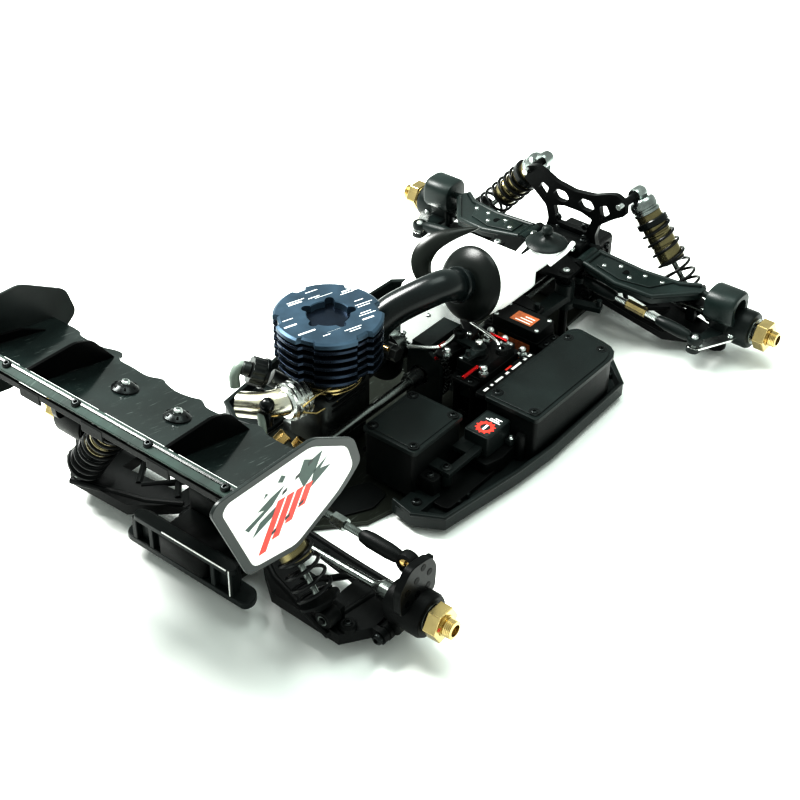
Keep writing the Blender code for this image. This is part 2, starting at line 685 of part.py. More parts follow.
def lean_web(web, side, hinge_z, dy, dz, hinge_y):
    """Tilts a flat web so that it follows the line from the inner hinge to the outer joint."""
    for vert in web.verts:
        vert.co.z += hinge_z + dz * (side * vert.co.y - hinge_y) / dy


def wheel_hex(name, x, z, side, inner_y):
    """A hub: axle, hexagonal drive and threaded stub, along the wheel's axis."""
    def at(y):
        return (x, side * y, z)

    low = side * (HEX_FACE_Y - HEX_T)
    high = side * HEX_FACE_Y
    drive = prism(hexagon((x, z), HEX_ACROSS_FLATS), "y", min(low, high), max(low, high))
    axle = rod(at(inner_y), at(HEX_FACE_Y - 2), HUB_BORE_R - RUNNING_GAP, ROUND)
    stub = rod(at(HEX_FACE_Y - 2), at(STUB_END_Y), STUB_R, ROUND)
    hollow = rod(at(HEX_FACE_Y - 1), at(STUB_END_Y + 2), STUB_R - 1.8, ROUND)
    piece(name, "gold", [drive, axle, stub], [hollow], at(HEX_FACE_Y))


def rear_corner(side):
    outer_y = R_HINGE_Y + R_ARM_DY
    outer_z = R_LOWER_HINGE_Z + R_ARM_DZ
    box_x = REAR_X + 2
    inner_x0 = box_x - GEARBOX_HALF_LENGTH + 5 + GAP
    inner_x1 = box_x + GEARBOX_HALF_LENGTH - 5 - GAP
    outer_x0 = REAR_X - 16
    outer_x1 = REAR_X + 16

    def at(x, y, z):
        return (x, side * y, z)

    barrel = rod(at(inner_x0, R_HINGE_Y, R_LOWER_HINGE_Z), at(inner_x1, R_HINGE_Y, R_LOWER_HINGE_Z), 4.2)
    pin_hole = rod(at(inner_x0 - 1, R_HINGE_Y, R_LOWER_HINGE_Z),
                   at(inner_x1 + 1, R_HINGE_Y, R_LOWER_HINGE_Z),
                   HINGE_PIN_R + GAP, PIN)
    web = prism([(inner_x0, side * (R_HINGE_Y + 3)), (inner_x1, side * (R_HINGE_Y + 3)),
                 (inner_x1, side * (R_HINGE_Y + 8)), (outer_x1 - 0.6, side * (outer_y - 12)),
                 (outer_x1 - 0.6, side * (outer_y - 4.6)),
                 (outer_x0 + 0.6, side * (outer_y - 4.6)), (outer_x0 - 14, side * (outer_y - 14)),
                 (R_SHOCK_X - 2, side * (R_HINGE_Y + 30)), (inner_x0 - 8, side * (R_HINGE_Y + 17)),
                 (inner_x0, side * (R_HINGE_Y + 8))],
                "z", -3.4, 3.4)
    lean_web(web, side, R_LOWER_HINGE_Z, R_ARM_DY, R_ARM_DZ, R_HINGE_Y)
    ears = []
    for ear_x in (outer_x0, outer_x1 - LUG_T):
        ears += pin_lug(ear_x, side * (outer_y - 8), side * outer_y, outer_z)
    outer_pin = rod(at(outer_x0 - 1, outer_y, outer_z), at(outer_x1 + 1, outer_y, outer_z), HINGE_PIN_R,
                    PIN)
    foot_y, foot_z = R_SHOCK_FOOT
    cheek = block(R_SHOCK_X + SHOCK_EYE_R + GAP, R_SHOCK_X + SHOCK_EYE_R + 4, side * (foot_y - 3),
                  side * (foot_y + 3), outer_z - 2, foot_z + 2.4)
    pin = rod(at(R_SHOCK_X + SHOCK_EYE_R + 2, foot_y, foot_z),
              at(R_SHOCK_X - SHOCK_EYE_R - 1, foot_y, foot_z),
              SHOCK_PIN_R)
    window = prism([(inner_x0 + 8, side * (R_HINGE_Y + 14)), (inner_x1 - 6, side * (R_HINGE_Y + 14)),
                    (REAR_X + 6, side * (outer_y - 32)), (REAR_X - 8, side * (outer_y - 32))], "z", -10, 40)
    piece(side_name("rear_lower_arm", side), "black_plastic", [barrel, web, *ears, outer_pin, cheek, pin],
          [pin_hole, window], at(box_x, R_HINGE_Y, R_LOWER_HINGE_Z))

    # Hub carrier on the outer hinge pin.
    knuckle_x0 = outer_x0 + LUG_T + GAP
    knuckle_x1 = outer_x1 - LUG_T - GAP
    link_outer_z = outer_z + R_LINK_RISE
    link_outer_y = outer_y + R_LINK_OFFSET_Y
    hinge = rod(at(knuckle_x0, outer_y, outer_z), at(knuckle_x1, outer_y, outer_z), 4.4)
    hinge_hole = rod(at(knuckle_x0 - 1, outer_y, outer_z), at(knuckle_x1 + 1, outer_y, outer_z),
                     HINGE_PIN_R + GAP, PIN)
    drum = rod(at(REAR_X, outer_y - 3, R_HUB_Z), at(REAR_X, HEX_FACE_Y - HEX_T - 1, R_HUB_Z), 11.0, ROUND)
    wall = block(REAR_X - 9, REAR_X + 9, side * (outer_y - 1.4), side * (outer_y + 6), outer_z - 1.3,
                 R_HUB_Z + 8, 1.0)
    mast = block(REAR_X - 10, REAR_X + 10, side * (link_outer_y + 4.8), side * (link_outer_y + 8.8),
                 R_HUB_Z + 4, link_outer_z + 4, 1.0)
    stud = rod(at(REAR_X + 1, link_outer_y + 6, link_outer_z),
               at(REAR_X + 1, link_outer_y - 2.5, link_outer_z),
               STEER_PIN_R)
    bore = rod(at(REAR_X, 60, R_HUB_Z), at(REAR_X, 150, R_HUB_Z), HUB_BORE_R, ROUND)
    piece(side_name("rear_hub_carrier", side), "black_plastic", [hinge, drum, wall, mast, stud],
          [hinge_hole, bore],
          at(REAR_X, outer_y, outer_z))

    # Camber link between the two ball studs.
    inner = (REAR_X + 1, R_HINGE_Y + R_LINK_OFFSET_Y, R_LOWER_HINGE_Z + R_LINK_RISE)
    inner_eye = rod(at(inner[0] - 3, inner[1], inner[2]), at(inner[0] + 3, inner[1], inner[2]), 6.2, ROUND)
    inner_hole = rod(at(inner[0] - 4, inner[1], inner[2]), at(inner[0] + 4, inner[1], inner[2]),
                     BALL_R + LINK_GAP, ROUND)
    entry = rod(at(inner[0], inner[1] - 9, inner[2]), at(inner[0], inner[1], inner[2]), BALL_R + GAP, ROUND)
    socket_y = inner[1] + R_ARM_DY
    socket_z = inner[2] + R_ARM_DZ
    socket = rod(at(inner[0], socket_y - 9, socket_z), at(inner[0], socket_y + 2, socket_z), 5.2, ROUND)
    socket_hole = rod(at(inner[0], socket_y - 4.5, socket_z), at(inner[0], socket_y + 4, socket_z), 3.5,
                      ROUND)
    bar = rod(at(inner[0], inner[1] + 4, inner[2]), at(inner[0], socket_y - 7, socket_z), 2.4)
    sleeve_a = rod(at(inner[0], inner[1] + 4, inner[2]), at(inner[0], inner[1] + 24, inner[2] - 1), 3.8)
    sleeve_b = rod(at(inner[0], socket_y - 26, socket_z + 0.8), at(inner[0], socket_y - 6, socket_z), 3.8)
    piece(side_name("rear_upper_link", side), "black_plastic", [bar, sleeve_a, sleeve_b, inner_eye, socket],
          [inner_hole, entry, socket_hole], at(*inner))
    wheel_hex(side_name("rear_wheel_hex", side), REAR_X, R_HUB_Z, side, outer_y + 7)


def shock(corner, side, x, top, foot):
    """Body, shaft and spring of one shock absorber, drawn hanging from its top eye and then leaned over."""
    lean = Vector((0, side * (foot[0] - top[0]), foot[1] - top[1]))
    length = lean.length
    along = lean.normalized()
    origin = Vector((x, side * top[0], top[1]))

    def at(distance, dx=0.0):
        return tuple(origin + along * distance + Vector((dx, 0, 0)))

    eye = rod(at(0, -SHOCK_EYE_R), at(0, SHOCK_EYE_R), SHOCK_EYE_R, ROUND)
    body = turned(
        [(0, 3), (SHOCK_CAP_R - 1, 3), (SHOCK_CAP_R, 5), (SHOCK_CAP_R, 13), (SHOCK_BODY_R, 14),
         (SHOCK_BODY_R, 17),
         (SHOCK_COLLAR_R, 17.5), (SHOCK_COLLAR_R, SPRING_TOP - GAP - 0.3), (SHOCK_BODY_R, SPRING_TOP - GAP),
         (SHOCK_BODY_R, SHOCK_BODY_LENGTH), (SHOCK_SHAFT_R + GAP, SHOCK_BODY_LENGTH),
         (SHOCK_SHAFT_R + GAP, SHOCK_BORE_TOP), (0, SHOCK_BORE_TOP)],
        origin, along, ROUND)
    pin_hole = rod(at(0, -SHOCK_EYE_R - 1), at(0, SHOCK_EYE_R + 1), SHOCK_PIN_R + GAP)
    piece(side_name(f"{corner}_shock_body", side), "gold", [body, eye], [pin_hole], tuple(origin))

    shaft = rod(at(SHOCK_BODY_LENGTH - SHOCK_SHAFT_IN_BODY), at(length - SPRING_SEAT_UP + 4), SHOCK_SHAFT_R)
    seat = turned(
        [(0, length - SPRING_SEAT_UP), (SPRING_R + 1.4, length - SPRING_SEAT_UP),
         (SPRING_R + 1.4, length - SPRING_SEAT_UP + 2), (4.0, length - 4.5), (0, length - 4.5)],
        origin, along, ROUND)
    foot_eye = rod(at(length, -SHOCK_EYE_R), at(length, SHOCK_EYE_R), SHOCK_EYE_R + 0.8, ROUND)
    foot_hole = rod(at(length, -SHOCK_EYE_R - 1), at(length, SHOCK_EYE_R + 1), SHOCK_PIN_R + LINK_GAP)
    piece(side_name(f"{corner}_shock_shaft", side), "steel", [seat, shaft, foot_eye], [foot_hole],
          at(length))

    spring_bottom = length - SPRING_SEAT_UP - GAP - SPRING_WIRE_R
    spring(side_name(f"{corner}_shock_spring", side), origin, along, SPRING_TOP + SPRING_WIRE_R + GAP,
           spring_bottom)


def spring(name, origin, along, start, end, turns=6, steps_per_turn=8):
    across = Vector((1, 0, 0))
    other = along.cross(across)
    points = []
    for step in range(turns * steps_per_turn + 1):
        angle = 2 * math.pi * step / steps_per_turn
        rise = start + (end - start) * step / (turns * steps_per_turn)
        radial = across * math.cos(angle) + other * math.sin(angle)
        points.append(origin + along * rise + radial * SPRING_R)
    piece(name, "anodised_black", [swept(points, [SPRING_WIRE_R] * len(points), 4)],
          pivot=tuple(origin + along * start))


# ---------------------------------------------------------------- steering

def steering():
    plate_z0 = TOP_PLATE_Z
    left_edge = [(CRANK_X - 10, 12), (CRANK_X - 7, CRANK_Y + 6), (CRANK_X + 8, CRANK_Y + 5),
                 (CRANK_X + 16, 14),
                 (CRANK_X + 29, 12)]
    right_edge = [(x, -y) for x, y in reversed(left_edge)]
    top = prism(left_edge + right_edge, "z", plate_z0, plate_z0 + TOP_PLATE_T)
    shapes = [top]
    for side in (1, -1):
        shapes.append(rod((CRANK_X, side * CRANK_Y, PLATE_T + GAP),
                          (CRANK_X, side * CRANK_Y, plate_z0 + 1), CRANK_POST_R))
    piece("steering_top_plate", "anodised_black", shapes)

    hub_low = STEER_PLATE_Z - 10
    hub_high = STEER_PLATE_Z + 6
    pin_x = CRANK_X - STEER_ARM
    for name, side in (("servo_saver_crank", -1), ("idler_crank", 1)):
        y = side * CRANK_Y
        hub = rod((CRANK_X, y, hub_low), (CRANK_X, y, hub_high), CRANK_HUB_R, ROUND)
        base = rod((CRANK_X, y, hub_low), (CRANK_X, y, hub_low + 4), CRANK_HUB_R + 1.5, ROUND)
        arm = prism([(CRANK_X, y - 5), (pin_x, y - 4), (pin_x - 4, y - 2), (pin_x - 4, y + 2),
                     (pin_x, y + 4),
                     (CRANK_X, y + 5)], "z", STEER_PLATE_Z - 5, STEER_PLATE_Z - GAP)
        pin = rod((pin_x, y, STEER_PLATE_Z - 3), (pin_x, y, STEER_PLATE_Z + STEER_PLATE_T + 3), STEER_PIN_R)
        shapes = [hub, base, arm, pin]
        if side < 0:
            shapes.append(prism([(CRANK_X - 3, y), (CRANK_X + 3, y), (CRANK_X + 10, y - 22),
                                 (CRANK_X + 4, y - 24)],
                                "z", hub_low + 1, hub_low + 4))
            shapes.append(rod((CRANK_X + 7, y - 21, hub_low + 2), (CRANK_X + 7, y - 21, hub_low + 8),
                              STEER_PIN_R))
        bore = rod((CRANK_X, y, hub_low - 1), (CRANK_X, y, hub_high + 1), CRANK_POST_R + GAP, ROUND)
        piece(name, "anodised_black" if side < 0 else "black_plastic", shapes, [bore],
              (CRANK_X, y, STEER_PLATE_Z))

    tie_x = F_KINGPIN_X - STEER_ARM
    waist = CRANK_Y - CRANK_HUB_R - STEER_ARM * math.sin(math.radians(STEER_LIMIT)) - 1.0
    half = [(pin_x - 4, 4), (pin_x - 4, CRANK_Y + 3), (pin_x + 3, CRANK_Y + 3), (pin_x + 8, waist),
            (tie_x - 8, waist), (tie_x - 4, F_HINGE_Y + 3), (tie_x + 4, F_HINGE_Y + 3), (tie_x + 4, 6)]
    outline = half + [(x, -y) for x, y in reversed(half)]
    link = prism(outline, "z", STEER_PLATE_Z, STEER_PLATE_Z + STEER_PLATE_T)
    shapes = [link]
    cuts = []
    for side in (1, -1):
        pin_hole = rod((pin_x, side * CRANK_Y, STEER_PLATE_Z - 1),
                       (pin_x, side * CRANK_Y, STEER_PLATE_Z + STEER_PLATE_T + 1), STEER_PIN_R + GAP, ROUND)
        cuts.append(pin_hole)
        shapes.append(rod((tie_x, side * F_HINGE_Y, STEER_PLATE_Z - TIE_DROP - 3),
                          (tie_x, side * F_HINGE_Y, STEER_PLATE_Z + 1),
                          STEER_PIN_R))
    piece("steering_plate", "anodised_black", shapes, cuts, (pin_x, -CRANK_Y, STEER_PLATE_Z))
    for side in (1, -1):
        tie_rod(side, tie_x)


def tie_rod(side, x):
    inner = Vector((x, side * F_HINGE_Y, STEER_PLATE_Z - TIE_DROP))
    outer = inner + Vector((0, side * F_ARM_DY, F_ARM_DZ))
    along = (outer - inner).normalized()
    up = Vector((0, 0, 1))
    reach = 2.6
    eyes = []
    holes = []
    for centre in (inner, outer):
        eyes.append(rod(tuple(centre - up * TIE_EYE_HALF), tuple(centre + up * TIE_EYE_HALF), TIE_EYE_R,
                        ROUND))
        holes.append(rod(tuple(centre - up * 6), tuple(centre + up * 6), STEER_PIN_R + LINK_GAP, ROUND))
    bar = rod(tuple(inner + along * 4), tuple(outer - along * 4), 1.7)
    nut = rod(tuple(inner + along * 38), tuple(inner + along * 46), 3.2, 6)
    ends = [rod(tuple(inner + along * (4 - reach / 2)), tuple(inner + along * 22), 2.6),
            rod(tuple(outer - along * 22), tuple(outer - along * (4 - reach / 2)), 2.6)]
    piece(side_name("tie_rod", side), "steel", [bar, nut, *ends, *eyes], holes, tuple(inner))


# ---------------------------------------------------------------- engine and fuel

def crank_height():
    """Height of the crankshaft that puts the clutch bell in mesh with the spur gear."""
    distance = GEAR_MODULE * (SPUR_TEETH + BELL_TEETH) / 2
    return DRIVE_Z + math.sqrt(distance**2 - (ENGINE_Y - DRIVE_Y) ** 2)


def engine():
    crank_z = crank_height()
    x0 = ENGINE_X - CASE_HALF_LENGTH
    x1 = ENGINE_X + CASE_HALF_LENGTH
    y0 = ENGINE_Y - CASE_HALF_WIDTH
    y1 = ENGINE_Y + CASE_HALF_WIDTH
    case = block(x0, x1, y0, y1, PLATE_T + CASE_BOTTOM, CASE_TOP - 6, 3.0)
    feet = block(x0 + 4, x1 - 4, y0 + 1, y1 + 8, PLATE_T + GAP, PLATE_T + CASE_BOTTOM + 4, 1.0)
    neck_top = HEAD_TOP - HEAD_FINS * FIN_PITCH - 6
    cylinder = rod((ENGINE_X, ENGINE_Y, CASE_TOP - 10), (ENGINE_X, ENGINE_Y, neck_top), 13.5, ROUND)
    nose = rod((x1 - 2, ENGINE_Y, crank_z), (CARB_X + CARB_R, ENGINE_Y, crank_z), 9.0, ROUND, 7.5)
    carb = rod((CARB_X, ENGINE_Y, crank_z + 4), (CARB_X, ENGINE_Y, CARB_TOP), CARB_R, ROUND)
    slide = rod((CARB_X, ENGINE_Y - 16, crank_z + 11), (CARB_X, ENGINE_Y + 14, crank_z + 11), 4.0)
    shaft = rod((CARB_X, ENGINE_Y, crank_z), (BELL_X0 - GAP, ENGINE_Y, crank_z), 2.6)
    piece("engine_block", "aluminium", [case, feet, cylinder, nose, carb, slide, shaft])

    bowl = HEAD_BOWL_R
    low = neck_top + GAP
    profile = [(0, low), (HEAD_CORE_R, low)]
    for fin in range(HEAD_FINS):
        z = HEAD_TOP - (HEAD_FINS - 1 - fin) * FIN_PITCH
        profile += [(HEAD_CORE_R, z - FIN_T), (HEAD_R, z - FIN_T), (HEAD_R, z)]
        if fin < HEAD_FINS - 1:
            profile.append((HEAD_CORE_R, z))
    profile += [(bowl + 2, HEAD_TOP), (bowl, HEAD_TOP - 1.5), (bowl - 3, HEAD_TOP - 12), (0, HEAD_TOP - 12)]
    head = turned(profile, (ENGINE_X, ENGINE_Y, 0), (0, 0, 1), FINE)
    piece("cooling_head", "head_blue", [head])

    # Clutch bell in front of the engine, turning on the crankshaft's axis.
    spindle = gear(BELL_TEETH, (ENGINE_Y, crank_z), BELL_X1 - 1, BELL_X1 + SPUR_WIDTH)
    drum = turned([(0, 0), (9.5, 0), (10.5, 1), (10.5, BELL_X1 - BELL_X0), (0, BELL_X1 - BELL_X0)],
                  (BELL_X0, ENGINE_Y, crank_z), (1, 0, 0), ROUND)
    piece("clutch_bell", "steel", [drum, spindle], pivot=(BELL_X0, ENGINE_Y, crank_z))


def air_filter():
    centre = Vector(FILTER_CENTRE)
    axis = Vector(FILTER_AXIS).normalized()
    start = Vector((CARB_X, ENGINE_Y, CARB_TOP + LINK_GAP))
    route = [start, start + Vector((0.3, 0, 3)), start + Vector((3, -1.5, 8)), start + Vector((14, -7, 16)),
             centre - axis * 24, centre - axis * 8,
             centre + axis * 1]
    path = curve_through(route, 4)
    elbow = swept(path, [ELBOW_R] * len(path), ROUND)
    dish = turned(
        [(0, 0), (10, 0), (11, 1.2), (FILTER_DISH_R - 1, 2.4), (FILTER_DISH_R, 4), (FILTER_DISH_R, 6),
         (FILTER_FOAM_R, 6.5), (FILTER_FOAM_R, 16), (FILTER_FOAM_R - 4, 20), (0, 20)],
        centre, axis, 20)
    piece("air_filter", "satin_plastic", [elbow, dish])


def exhaust():
    """Header pipe from the rear of the cylinder, with a ribbed coupler, turning out to the left."""
    x = ENGINE_X - CASE_HALF_LENGTH
    z = CASE_TOP - 4
    start = (x - GAP, ENGINE_Y, z)
    collar = rod(start, (x - 7, ENGINE_Y, z), 9.0, ROUND)
    path = curve_through([(x - 4, ENGINE_Y, z), (x - 14, ENGINE_Y + 3, z + 1), (x - 24, ENGINE_Y + 12, z),
                          (x - 27, ENGINE_Y + 24, z - 3)], 4)
    pipe = swept(path, [7.0] * len(path), ROUND)
    ribs = [turned([(0, 0), (10.2, 0), (10.8, 1), (10.2, 2), (0, 2)],
                   (x - 8 - 3.4 * k, ENGINE_Y + 0.8 * k, z),
                   (-1, 0.15 + 0.12 * k, 0), ROUND) for k in range(3)]
    piece("exhaust_manifold", "aluminium", [pipe, collar, *ribs])


def fuel_tank():
    lower = block(TANK_REAR_X, TANK_MID_X, TANK_INNER_Y, TANK_LEFT_Y, TANK_FLOOR_Z, TANK_STEP_Z + 4, 3.0)
    upper = block(TANK_REAR_X + 18, TANK_FRONT_X, TANK_OVERHANG_Y, TANK_LEFT_Y - 4, TANK_STEP_Z,
                  TANK_TOP_Z, 4.0)
    feet = block(TANK_REAR_X + 4, TANK_MID_X - 4, TANK_INNER_Y + 8, TANK_LEFT_Y - 10, PLATE_T + GAP,
                 TANK_FLOOR_Z + 4)
    slope_start = (TANK_FRONT_X - 8, NECK_Y + 4, TANK_TOP_Z - 5)
    slope_end = (NECK_X, NECK_Y, NECK_LOW_Z + 4.5)
    slope = rod(slope_start, slope_end, NECK_SLOPE_R, ROUND)
    neck = rod((NECK_X, NECK_Y, NECK_LOW_Z), (NECK_X, NECK_Y, NECK_TOP_Z), NECK_R, ROUND)
    wall = TANK_WALL
    cavity_low = block(TANK_REAR_X + wall, TANK_MID_X - wall, TANK_INNER_Y + wall, TANK_LEFT_Y - wall,
                       TANK_FLOOR_Z + wall, TANK_STEP_Z + 4 - wall, 2.0)
    cavity_high = block(TANK_REAR_X + 18 + wall, TANK_FRONT_X - wall, TANK_OVERHANG_Y + wall,
                        TANK_LEFT_Y - 4 - wall, TANK_STEP_Z + wall, TANK_TOP_Z - wall, 3.0)
    throat = rod((NECK_X, NECK_Y, NECK_LOW_Z + 2), (NECK_X, NECK_Y, NECK_TOP_Z + 3), NECK_R - NECK_WALL,
                 ROUND)
    channel = rod(slope_start, slope_end, NECK_SLOPE_R - NECK_WALL, ROUND)
    piece("fuel_tank", "white_plastic", [lower, upper, feet, slope, neck],
          [cavity_low, cavity_high, throat, channel])

    seat_z = NECK_TOP_Z + GAP
    lid = turned([(0, 0), (LID_R, 0), (LID_R, 1.2), (LID_R - 1.5, 2.6), (4, 3.6), (2.2, 4.2), (0, 4.2)],
                 (NECK_X, NECK_Y, seat_z), (0, 0, 1), ROUND)
    stem = rod((NECK_X, NECK_Y, seat_z + 2), (NECK_X, NECK_Y, seat_z + 8), 1.8)
    knob = ball((NECK_X, NECK_Y, seat_z + 9), 3.4)
    piece("fuel_tank_lid", "black_plastic", [lid, stem, knob], pivot=(NECK_X + LID_R, NECK_Y, seat_z))


# ---------------------------------------------------------------- centre differential

def centre_differential():
    spur_x = BELL_X1 + GAP
    spur = gear(SPUR_TEETH, (DRIVE_Y, DRIVE_Z), spur_x, spur_x + SPUR_WIDTH - 1)
    front_end = FRONT_X - 9 - GEARBOX_HALF_LENGTH + CASE_STEP_BACK + 6
    rear_end = REAR_X + 2 + GEARBOX_HALF_LENGTH + 12 - 6
    shaft = rod((rear_end, DRIVE_Y, DRIVE_Z), (front_end, DRIVE_Y, DRIVE_Z), SHAFT_R)
    case = rod((spur_x + 2, DRIVE_Y, DRIVE_Z), (spur_x + 22, DRIVE_Y, DRIVE_Z), 11.0, ROUND)
    cups = [rod((spur_x - 15, DRIVE_Y, DRIVE_Z), (spur_x - 4, DRIVE_Y, DRIVE_Z), 5.0),
            rod((spur_x + 30, DRIVE_Y, DRIVE_Z), (spur_x + 42, DRIVE_Y, DRIVE_Z), 5.0)]
    discs = [rod((disc_x, DRIVE_Y, DRIVE_Z), (disc_x + 1.2, DRIVE_Y, DRIVE_Z), 10.5, ROUND)
             for disc_x in (spur_x + 28, spur_x + 43)]
    piece("centre_diff", "steel", [shaft, spur, case, *cups, *discs], pivot=(0, DRIVE_Y, DRIVE_Z))

    x0 = spur_x + 22 + RUNNING_GAP
    x1 = x0 + 4.2
    right = DRIVE_Y - 15
    left = DRIVE_Y + 9.5
    outline = [(right, PLATE_T + GAP), (left, PLATE_T + GAP), (left, DRIVE_Z + 10),
               (DRIVE_Y + 7, DRIVE_Z + 18),
               (DRIVE_Y - 7, DRIVE_Z + 18), (right, DRIVE_Z + 10)]
    upright = prism(outline, "x", x0, x1)
    rear_upright = prism(outline, "x", spur_x - 3.6, spur_x - 1.0)
    bridge = block(spur_x - 3.4, x1 - 0.2, DRIVE_Y - 6, DRIVE_Y + 6, DRIVE_Z + 18.6, DRIVE_Z + 22)
    lugs = [block(spur_x - 3.6, spur_x - 1.0, DRIVE_Y - 6, DRIVE_Y + 6, DRIVE_Z + 14, DRIVE_Z + 20),
            block(x0, x1, DRIVE_Y - 6, DRIVE_Y + 6, DRIVE_Z + 14, DRIVE_Z + 20)]
    bore = rod((x0 - 20, DRIVE_Y, DRIVE_Z), (x0 + 30, DRIVE_Y, DRIVE_Z), 5.6 + RUNNING_GAP, ROUND)
    rear_bore = rod((spur_x - 20, DRIVE_Y, DRIVE_Z), (spur_x - 0.5, DRIVE_Y, DRIVE_Z), 5.6 + RUNNING_GAP,
                    ROUND)
    piece("centre_diff_mount", "anodised_black", [upright, bridge, *lugs, rear_upright], [bore, rear_bore])


def servo(name, x, y, z, long_axis_y, spline_end):
    """A servo case with its mounting ears and output boss on top."""
    half_long = SERVO_LENGTH / 2
    half_wide = SERVO_WIDTH / 2
    dx, dy = (half_wide, half_long) if long_axis_y else (half_long, half_wide)
    body = block(x - dx, x + dx, y - dy, y + dy, z, z + SERVO_HEIGHT, 1.0)
    ear_dx, ear_dy = (half_wide, half_long + 4.5) if long_axis_y else (half_long + 4.5, half_wide)
    ears = block(x - ear_dx, x + ear_dx, y - ear_dy, y + ear_dy, z + 26, z + 28.5)
    offset = spline_end * (half_long - half_wide)
    boss_x, boss_y = (x, y + offset) if long_axis_y else (x + offset, y)
    boss = rod((boss_x, boss_y, z + SERVO_HEIGHT - 1), (boss_x, boss_y, z + SERVO_HEIGHT + 1.5), 5.5, ROUND)
    post_dx, post_dy = (0, half_long + 2.2) if long_axis_y else (half_long + 2.2, 0)
    posts = [rod((x + sign * post_dx, y + sign * post_dy, PLATE_T + GAP),
                 (x + sign * post_dx, y + sign * post_dy, z + 27),
                 1.6) for sign in (1, -1)]
    piece(name, "black_plastic", [body, ears, boss, *posts])
    return boss_x, boss_y, z + SERVO_HEIGHT + 1.5


def servos():
    servo("steering_servo", STEER_SERVO_X, STEER_SERVO_Y, PLATE_T + 4, True, -1)
    x, y, z = servo("throttle_servo", THROTTLE_SERVO_X, THROTTLE_SERVO_Y, PLATE_T + 8, False, -1)
    low = z + GAP
    hub = rod((x, y, low), (x, y, low + 4), 4.5, ROUND)
    arm = prism([(x - 3.5, y), (x + 3.5, y), (x + 2, y + 17), (x - 2, y + 17)], "z", low + 1, low + 3.4)
    arm_b = prism([(x, y - 3.5), (x, y + 3.5), (x - 13, y + 2), (x - 13, y - 2)], "z", low + 1, low + 3.4)
    studs = [rod((x, y + 14.5, low + 2), (x, y + 14.5, low + 7), 1.5),
             rod((x - 10.5, y, low + 2), (x - 10.5, y, low + 7), 1.5)]
    piece("throttle_horn", "black_plastic", [hub, arm, arm_b, *studs], pivot=(x, y, low))


# ---------------------------------------------------------------- radio

def radio():
    x0, x1, y0, y1, top = RADIO_BOX
    floor = PLATE_T + GAP + GUARD_FLOOR_T + GAP
    corner = 10
    outline = [(x0, y0), *arc((x1 - corner, y0 + corner), corner, -90, 0, 5), (x1 + 3, y1 - 4), (x1, y1),
               (x0, y1)]
    box = prism(outline, "z", floor, top - 3)
    lid = prism([(x0 - 0.8, y0 - 0.8), *arc((x1 - corner, y0 + corner), corner + 0.8, -90, 0, 5),
                 (x1 + 3.8, y1 - 4),
                 (x1 + 0.8, y1 + 0.8), (x0 - 0.8, y1 + 0.8)], "z", top - 3.2, top)
    rx0, rx1, ry0, ry1, rtop = RECEIVER_BOX
    receiver = block(rx0, rx1, ry0, ry1, floor, rtop - 3)
    receiver_lid = block(rx0 - 0.8, rx1 + 0.8, ry0 - 0.8, ry1 + 0.8, rtop - 3.2, rtop, 0.6)
    base = block(rx0 + 2, x1 - 6, ry0 - 24, y1 + 3, floor, floor + TRAY_T)
    shelf = block(rx1 - 1, x0 + 1, -74, -50, floor, 17, 0.6)
    transponder = block(rx1 + 4, x0 - 3, -71, -55, 16, 30, 1.2)
    foot_y = -PLATE_HALF_WIDTH + 12
    feet = [rod((foot_x, foot_y, PLATE_T + GAP), (foot_x, foot_y, floor + 1), 3.0) for foot_x in (-74, -46)]
    piece("radio_tray", "black_plastic", [base, box, lid, receiver, receiver_lid, shelf, transponder,
                                          *feet])


# ---------------------------------------------------------------- wing

def wing():
    front_x, front_z = WING_FRONT
    rear_x, rear_z = WING_REAR
    slope = (rear_z - front_z) / (front_x - rear_x)

    def surface(x):
        return front_z + (front_x - x) * slope

    profile = [(front_x, front_z), (front_x, front_z - WING_T), (rear_x - 1, surface(rear_x - 1) - WING_T),
               (rear_x - 2 - WING_T, rear_z + GURNEY_HEIGHT), (rear_x - 2, rear_z + GURNEY_HEIGHT),
               (rear_x, surface(rear_x))]
    plane = prism(profile, "y", -WING_HALF_SPAN, WING_HALF_SPAN)
    shapes = [plane]
    for side in (1, -1):
        fin = [(front_x - 5, surface(front_x - 5) - 0.5),
               (front_x - 22, surface(front_x - 22) + FIN_HEIGHT),
               (rear_x - 1, rear_z + GURNEY_HEIGHT - 1), (rear_x, surface(rear_x) - 0.5)]
        low = side * FIN_Y - WING_T / 2
        shapes.append(prism(fin, "y", low, low + WING_T))
    piece("wing", "satin_plastic", shapes)

    outline = [(rear_x - 23, rear_z + 13), (rear_x - 19, rear_z + 17), (front_x - 17, front_z + 28),
               (front_x + 10, front_z + 12), (front_x + 15, front_z - 4), (front_x + 3, front_z - 13),
               (front_x - 30, front_z - 27), (rear_x - 4, rear_z - 34)]
    for side in (1, -1):
        near = side * (WING_HALF_SPAN + GAP)
        far = side * (WING_HALF_SPAN + GAP + ENDPLATE_T)
        piece(side_name("wing_endplate", side), "white_sheet",
              [prism(outline, "y", min(near, far), max(near, far))])

    # Two uprights stand on the rear tower and carry the wing from below.
    foot_x = R_TOWER_X - TOWER_T / 2 - GAP
    post = [(foot_x, 66), (foot_x, 78)]
    post += [(x, surface(x) - WING_T - GAP) for x in (front_x - 16, front_x - 36)]
    post += [(front_x - 34, front_z - 11), (front_x - 13, 72), (foot_x - 14, 60)]
    shapes = [prism(post, "y", side * WING_POST_Y - 2.5, side * WING_POST_Y + 2.5) for side in (1, -1)]
    tie = rod((front_x - 18, -WING_POST_Y, 98), (front_x - 18, WING_POST_Y, 98), 3.0)
    piece("wing_mount", "black_plastic", [shapes[0], tie, shapes[1]])


